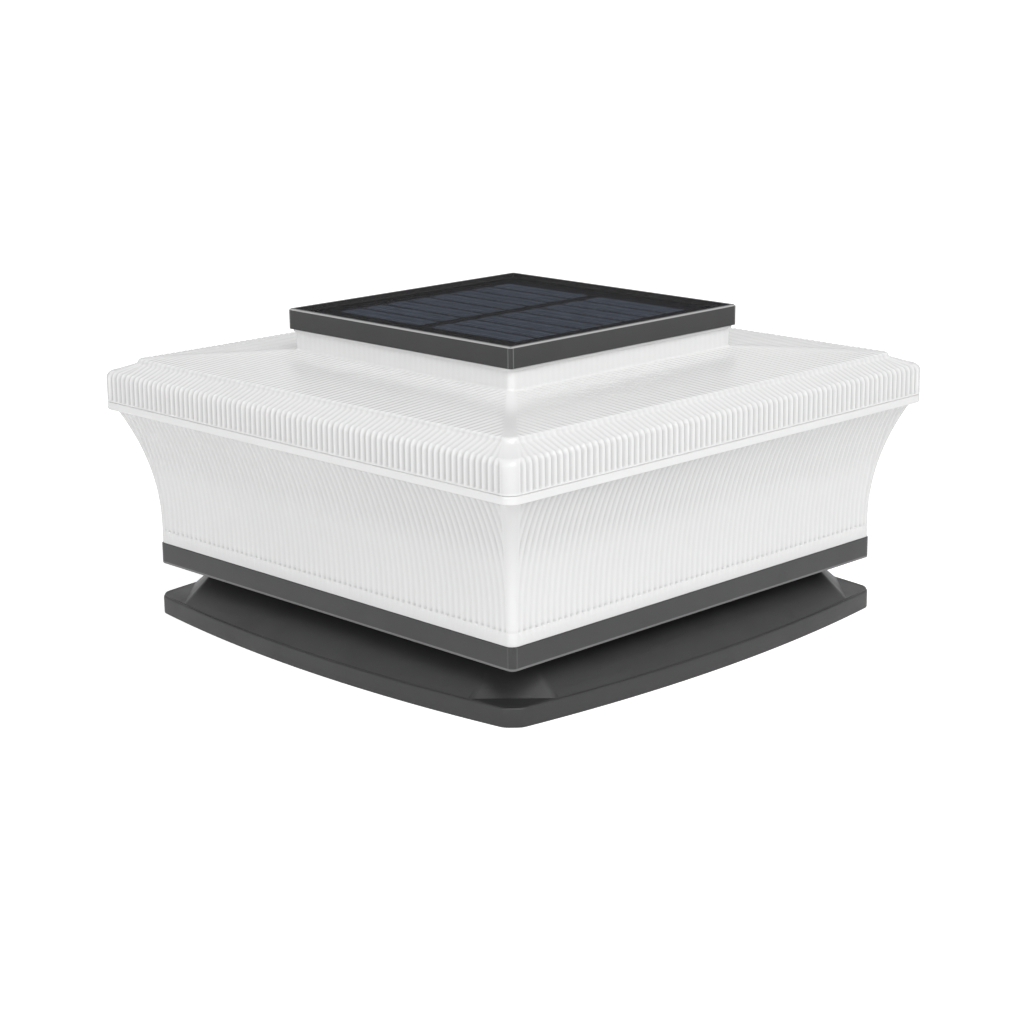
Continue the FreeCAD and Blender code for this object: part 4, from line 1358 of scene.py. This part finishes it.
    def bosses(self) -> bpy.types.Object:
        """Four round bosses that take the tray's screws from below.

        Returns:
            The bosses as one piece.
        """
        skin = Surface()
        radius, top, foot, bore = self.boss_radius, self.boss_top, self.foot, self.boss_bore
        roof, bevel = top - self.boss_roof, self.boss_bevel
        rows = [(0, roof), (bore, roof), (bore, foot), (radius, foot), (radius, top - bevel),
                (radius - bevel, top), (0, top)]
        for centre in at_corners(self.screw_reach):
            skin.add(tube(centre, rows), ring=True)
        return skin.piece("lower_lens_bosses")

    def dress(self, wardrobe: Wardrobe) -> None:
        """Builds, dresses and mounts the lower lens."""
        lens = self.build()
        for piece in (lens, self.bosses()):
            wardrobe.dress(piece, "lens_clear")
            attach(piece, Body.HEAD.value)
        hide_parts("lower_lens")


@dataclass
class UpperLens:
    """Band with flutes, rounded top, ledge, step, ribbed roof and collar.

    On the roof a rib runs straight from the eave to the collar, or to the hip where two
    sides meet; the hip itself is a strip of quarter circles between the two sides' ends.
    """

    ribbing: Ribbing
    seam: float = 74.95
    seam_gap: float = 0.04
    band_half: float = 98.75
    band_radius: float = 4.0
    band_top: float = 82.95
    foot_inset: float = 1.0
    foot_round: float = 0.3
    round_width: float = 1.95
    round_rise: float = 2.6
    round_steps: int = 8
    step_half: float = 90.9
    step_level: float = 87.85
    step_round: float = 0.6
    eave_half: float = 90.45
    eave_level: float = 89.35
    eave_radius: float = 3.0
    eave_round: float = 0.7
    roof_shares: tuple = (0.05, 0.97)        # where the flat roof starts and ends, from eave to collar
    collar_half: float = 52.2
    collar_level: float = 92.0
    collar_radius: float = 2.0
    collar_round: float = 0.9
    brim: float = 0.6
    brim_height: float = 1.0
    brim_rounds: tuple = (0.2, 0.15)
    opening_half: float = 41.2
    inner_radius: float = 1.0
    top: float = 99.2
    wall: float = 2.2
    roof_thickness: float = 2.0
    flute_depth: float = 0.55
    flute_start: tuple = ((0.5, 0.0), (0.8, 0.8), (1.2, 1.0))              # heights and shares of the depth
    ledge_depth: float = 0.16
    roof_depth: float = 0.14
    collar_depth: float = 0.03
    collar_rib_end: float = 1.2              # under the top
    rib_margin: float = 0.8                  # from the ribs' reach to the rounded corner
    hip_margin: float = 1.02                 # from a rib's last row to the hip, in lengths of its fade,
    hip_share: float = 0.4                   # or at least at this share of the way to the hip
    stretch_steps: int = 22
    sharp_over: float = 40.0

    def outside(self) -> Section:
        """Rings from the band's foot up to the last one before the flat roof.

        Returns:
            The section.
        """
        b, r, foot = self.band_half, self.band_radius, self.seam + self.seam_gap
        flute, ledge = self.flute_depth, self.ledge_depth
        corners = [Corner(b - self.wall, foot, r), Corner(b - self.foot_inset, foot, r),
                   Corner(b, foot, r, self.foot_round)]
        corners += [Corner(b, self.seam + over, r, rib=share * flute) for over, share in self.flute_start]
        corners.append(Corner(b, self.band_top, r, rib=flute))
        angles = np.linspace(0, np.pi / 2, self.round_steps + 1)[1:]
        for angle, depth in zip(angles, mixed(flute, ledge, np.linspace(0, 1, self.round_steps))):
            half = b - self.round_width * (1 - math.cos(angle))
            corners.append(Corner(half, self.band_top + self.round_rise * math.sin(angle), r, rib=depth))
        corners += [Corner(self.step_half, self.step_level, self.eave_radius, self.step_round, ledge, 5),
                    Corner(self.eave_half, self.eave_level, self.eave_radius, self.eave_round, ledge, 6),
                    self.roof_point(self.roof_shares[0])]
        return Section.through(corners)

    def roof_point(self, share: float) -> Corner:
        """A corner on the flat roof, at a share of the way from eave to collar."""
        return Corner(mixed(self.eave_half, self.collar_half, share),
                      mixed(self.eave_level, self.collar_level, share),
                      mixed(self.eave_radius, self.collar_radius, share), rib=self.roof_depth)

    def collar(self) -> Section:
        """Rings from the last one on the flat roof up the collar, over its flange and down inside it.

        Returns:
            The section.
        """
        h, r, d = self.collar_half, self.collar_radius, self.collar_depth
        top, foot = self.top, self.collar_level
        brim, under, flange = h + self.brim, top - self.brim_height, top - self.wall
        low, high = self.brim_rounds
        return Section.through([
            self.roof_point(self.roof_shares[1]), Corner(h, foot, r, self.collar_round, d, 5),
            Corner(h, top - self.collar_rib_end, r, rib=d), Corner(h, under, r),
            Corner(brim, under, r, low, steps=3), Corner(brim, top, r, high, steps=2),
            Corner(self.opening_half, top, r), Corner(self.opening_half, flange, r),
            Corner(h - self.wall, flange, self.inner_radius),
            Corner(h - self.wall, foot - self.roof_thickness, self.inner_radius)])

    def inside(self) -> Section:
        """Rings under the roof, from the collar's foot inside down to the band's inner foot.

        Returns:
            The section.
        """
        w, t, r, band = self.wall, self.roof_thickness, self.band_radius, self.band_half - self.wall
        return Section.through([
            Corner(self.collar_half - w, self.collar_level - t, self.inner_radius),
            Corner(self.eave_half - w, self.eave_level - t, self.eave_radius),
            Corner(self.step_half - w, self.step_level - t, self.eave_radius),
            Corner(band - self.round_width, self.band_top + self.round_rise - t, r),
            Corner(band, self.band_top - t, r), Corner(band, self.seam + self.seam_gap, r)])

    def roof(self, skin: Surface, shell: SquareShell, low: Section, high: Section) -> None:
        """Adds the flat roof and its hips between two rings, at the shell's places.

        A point at place u of a side lies a share w of the way from the low ring to the high
        one. A rib at u ends at the collar, where w is 1, or on the hip, where the straight
        half length, which shrinks evenly from ring to ring, has come down to u.

        Args:
            skin: takes the grids.
            shell: the rings' columns.
            low: one ring at the eave.
            high: one ring at the collar.
        """
        places = shell.places
        u = np.abs(places)
        span = low.limit - high.limit
        end = np.clip((low.limit - u) / span, 0, 1)
        inner = np.maximum(end - self.ribbing.fade / span * self.hip_margin, end * self.hip_share)
        shares = np.stack([inner / 2, inner, end])
        half, level = mixed(low.half, high.half, shares), mixed(low.level, high.level, shares)
        out, up = self.slope(low, high)
        drop = self.ribbing.drop(places, low.limit - span * shares, low.rib)
        along = np.broadcast_to(places, shares.shape)
        grid = np.stack([half - drop * out, along, level - drop * up, drop], axis=-1)
        reached = u <= high.limit + TOUCH
        grid[-1][reached] = SquareShell(self.ribbing, places[reached], 0).facet(high, high.limit)[0]
        reach = places[-1]
        for side in four_sides(np.concatenate([shell.facet(low, np.array([reach])), grid])):
            skin.add(side)
        for side in four_sides(self.hip(shell, low, high, np.array([0.0, inner[-1] / 2, inner[-1]]))):
            skin.add(side)

    def slope(self, low: Section, high: Section) -> tuple[float, float]:
        """Outward and upward parts of the flat roof's normal."""
        run, rise = low.half[0] - high.half[0], high.level[0] - low.level[0]
        length = math.hypot(run, rise)
        return rise / length, run / length

    def hip(self, shell: SquareShell, low: Section, high: Section, shares: np.ndarray) -> np.ndarray:
        """Points of the strip of quarter circles along a hip.

        Args:
            shell: the rings' columns.
            low: one ring at the eave.
            high: one ring at the collar.
            shares: of the rows before the first rib ends, from the low ring to the high one.

        Returns:
            Rows by columns by 4: one row for each share, then one for each rib place on the hip.
        """
        out, up = (np.full(len(shares), part) for part in self.slope(low, high))
        out[0], up[0] = low.out[0], low.up[0]
        rows = Section(mixed(low.half, high.half, shares), mixed(low.level, high.level, shares),
                       mixed(low.radius, high.radius, shares), mixed(low.rib, low.rib, shares), out, up)
        reach = np.full(len(shares), shell.places[-1])
        first = shell.facet(rows, reach)[:, -1:]
        strip = np.concatenate([first, shell.corner(rows, reach), mirrored(first)], axis=1)
        along = shell.places[shell.places >= high.limit - TOUCH][::-1]
        share = (low.limit - along) / (low.limit - high.limit)
        half, level = mixed(low.half, high.half, share), mixed(low.level, high.level, share)
        count = shell.stretch_steps + 1
        arc = np.linspace(0, np.pi / 2, shell.arc_steps + 1)[1:-1]
        angle = np.concatenate([np.zeros(count), arc, np.full(count, np.pi / 2)])
        radius, along = (half - along)[:, None], along[:, None]
        x, y = along + radius * np.cos(angle), along + radius * np.sin(angle)
        z = np.broadcast_to(level[:, None], x.shape)
        return np.concatenate([strip, np.stack([x, y, z, np.zeros_like(x)], axis=-1)])

    def build(self) -> bpy.types.Object:
        """Builds the closed skin: ribbed outside, roof, collar, and smooth inside.

        Returns:
            The lens.
        """
        outside, collar, inside = self.outside(), self.collar(), self.inside()
        low, high = inside.picked(1), inside.picked(0)
        ends = [outside.limit[-1] - self.rib_margin, collar.limit[0]]
        inner_ends = [low.limit[0] - self.rib_margin, high.limit[0]]
        places = self.ribbing.places(ends[0], (ends[1],))
        inner_places = np.interp(places, *([-far, -near, near, far] for far, near in (ends, inner_ends)))
        shell = SquareShell(self.ribbing, places, self.stretch_steps)
        inner_shell = SquareShell(self.ribbing, inner_places, self.stretch_steps)
        collar_shell = SquareShell(self.ribbing, places[np.abs(places) <= ends[1] + TOUCH], 0)
        skin, under = Surface(), Surface()
        skin.add(shell.rings(outside, np.full(len(outside.half), ends[0])), ring=True)
        self.roof(skin, shell, outside.picked(-1), collar.picked(0))
        skin.add(collar_shell.rings(collar, collar.limit), ring=True)
        self.roof(under, inner_shell, low, high)
        skin.add_lining(under)
        lower = inside.picked(*range(1, len(inside.half)))
        rows = inner_shell.rings(lower, np.full(len(lower.half), inner_ends[0]))
        skin.add(np.concatenate([rows, shell.rings(outside.picked(0), np.array(ends[:1]))]), ring=True)
        return skin.piece("upper_lens_skin", self.sharp_over)

    def dress(self, wardrobe: Wardrobe) -> None:
        """Builds, dresses and mounts the upper lens."""
        piece = self.build()
        wardrobe.dress(piece, "lens_clear")
        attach(piece, Body.HEAD.value)
        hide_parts("upper_lens")


# ---- studio -------------------------------------------------------------------
@dataclass(frozen=True)
class Lamp:
    """A square soft lamp: its name, place and side in metres, and power in watts."""

    name: str
    place: tuple[float, float, float]
    side: float
    power: float

    def hang(self, aim: tuple[float, float, float]) -> None:
        """Adds the lamp, turned to face a point.

        Args:
            aim: the point, in metres.
        """
        light = bpy.data.lights.new(self.name, "AREA")
        light.shape = "SQUARE"
        light.size = self.side
        light.energy = self.power
        piece = bpy.data.objects.new(self.name, light)
        piece.rotation_euler = (Vector(aim) - Vector(self.place)).to_track_quat("-Z", "Y").to_euler()
        piece.location = self.place
        bpy.context.scene.collection.objects.link(piece)


@dataclass
class Studio:
    """Pale floor, white surroundings, soft lamps and the camera."""

    eye: tuple[float, float, float] = (541.24, -542.34, 234.78)
    heading: float = 45.0
    pitch: float = 14.651
    roll: float = 0.614
    yaw: float = 0.523
    lens: float = 80.83
    sensor: float = 36.0
    clip: tuple[float, float] = (0.05, 50.0)
    floor_half: float = 9000.0
    floor_cells: int = 12
    floor_tone: float = 0.9
    floor_glow: float = 0.5
    mirrored_glow: float = 0.12
    world_level: float = 0.67
    aim: tuple[float, float, float] = (0.0, 0.0, 0.05)
    lamps: tuple[Lamp, ...] = (Lamp("key", (1.1, -0.42, 1.25), 1.0, 16.0),
                               Lamp("fill", (0.6, -2.0, 0.8), 1.6, 10.5))

    def floor(self) -> None:
        """A wide pale floor that keeps the shadow; a glow lifts it for the camera and in gloss."""
        skin = Surface()
        across = np.linspace(-self.floor_half, self.floor_half, self.floor_cells + 1)
        x, y = np.meshgrid(across, across)
        skin.add(np.stack([x, y, np.zeros_like(x)], axis=-1))
        piece = skin.piece("floor")
        n = Nodes("pale_floor")
        diffuse = n.node("ShaderNodeBsdfDiffuse", Color=(*grey(self.floor_tone), 1.0))
        glow = n.node("ShaderNodeEmission", Strength=1.0)
        path = n.node("ShaderNodeLightPath")
        seen = n.math("MULTIPLY", path.outputs["Is Camera Ray"], self.floor_glow)
        mirrored_share = n.math("MULTIPLY", path.outputs["Is Glossy Ray"], self.mirrored_glow)
        n.link(n.math("ADD", seen, mirrored_share), glow.inputs["Strength"])
        both = n.node("ShaderNodeAddShader")
        n.link(diffuse.outputs[0], both.inputs[0])
        n.link(glow.outputs[0], both.inputs[1])
        n.link(both.outputs[0], n.output.inputs["Surface"])
        piece.data.materials.append(n.material)

    def surroundings(self) -> None:
        """White world: its level lights the object, and the camera and clear pieces see full white."""
        world = bpy.data.worlds.new("white_room")
        bpy.context.scene.world = world
        world.use_nodes = True
        tree = world.node_tree
        tree.nodes.clear()
        output = tree.nodes.new("ShaderNodeOutputWorld")
        background = tree.nodes.new("ShaderNodeBackground")
        background.inputs["Color"].default_value = (1.0, 1.0, 1.0, 1.0)
        path = tree.nodes.new("ShaderNodeLightPath")
        seen = tree.nodes.new("ShaderNodeMath")
        seen.operation = "MAXIMUM"
        tree.links.new(path.outputs["Is Camera Ray"], seen.inputs[0])
        tree.links.new(path.outputs["Is Transmission Ray"], seen.inputs[1])
        ranged = tree.nodes.new("ShaderNodeMapRange")
        ranged.inputs["To Min"].default_value = self.world_level
        ranged.inputs["To Max"].default_value = 1.0
        tree.links.new(seen.outputs[0], ranged.inputs["Value"])
        tree.links.new(ranged.outputs["Result"], background.inputs["Strength"])
        tree.links.new(background.outputs[0], output.inputs["Surface"])

    def camera(self) -> None:
        """The camera at the photograph's angle: pitch down, a small roll, its axis turned by the yaw."""
        data = bpy.data.cameras.new("camera")
        data.lens = self.lens
        data.sensor_width = self.sensor
        data.clip_start, data.clip_end = self.clip
        piece = bpy.data.objects.new("camera", data)
        heading, pitch, roll = (math.radians(angle) for angle in (self.heading, self.pitch, self.roll))
        across = Vector((math.cos(heading), math.sin(heading), 0.0))
        away = Vector((-math.sin(heading), math.cos(heading), 0.0))
        forward = away * math.cos(pitch) - Vector((0, 0, 1)) * math.sin(pitch)
        upward = away * math.sin(pitch) + Vector((0, 0, 1)) * math.cos(pitch)
        right = across * math.cos(roll) - upward * math.sin(roll)
        top = across * math.sin(roll) + upward * math.cos(roll)
        turn = Matrix((right, top, -forward)).transposed().to_4x4()
        spin = Matrix.Rotation(math.radians(self.yaw), 4, "Z")
        piece.matrix_world = spin @ Matrix.Translation(Vector(self.eye) * METRE) @ turn
        bpy.context.scene.collection.objects.link(piece)
        bpy.context.scene.camera = piece

    def dress(self) -> None:
        """Sets the whole stage."""
        bpy.context.scene.view_settings.view_transform = "Standard"
        self.floor()
        self.surroundings()
        for lamp in self.lamps:
            lamp.hang(self.aim)
        self.camera()


def main() -> None:
    """Builds the pieces in order, dresses the carried-over nodes and sets the stage."""
    logging.basicConfig(level=logging.INFO, format="%(name)s %(message)s")
    wardrobe = Wardrobe()
    slots = {part["node"]: part["material_slot"] for part in frame["record"]["subparts"]}
    wardrobe.dress_nodes(frame["nodes"], slots)
    ribbing = Ribbing()
    for assembly in (BasePlate(), LowerTray(), LowerLens(ribbing), UpperLens(ribbing)):
        assembly.dress(wardrobe)
    Studio().dress()


if __name__ == "__main__":
    main()
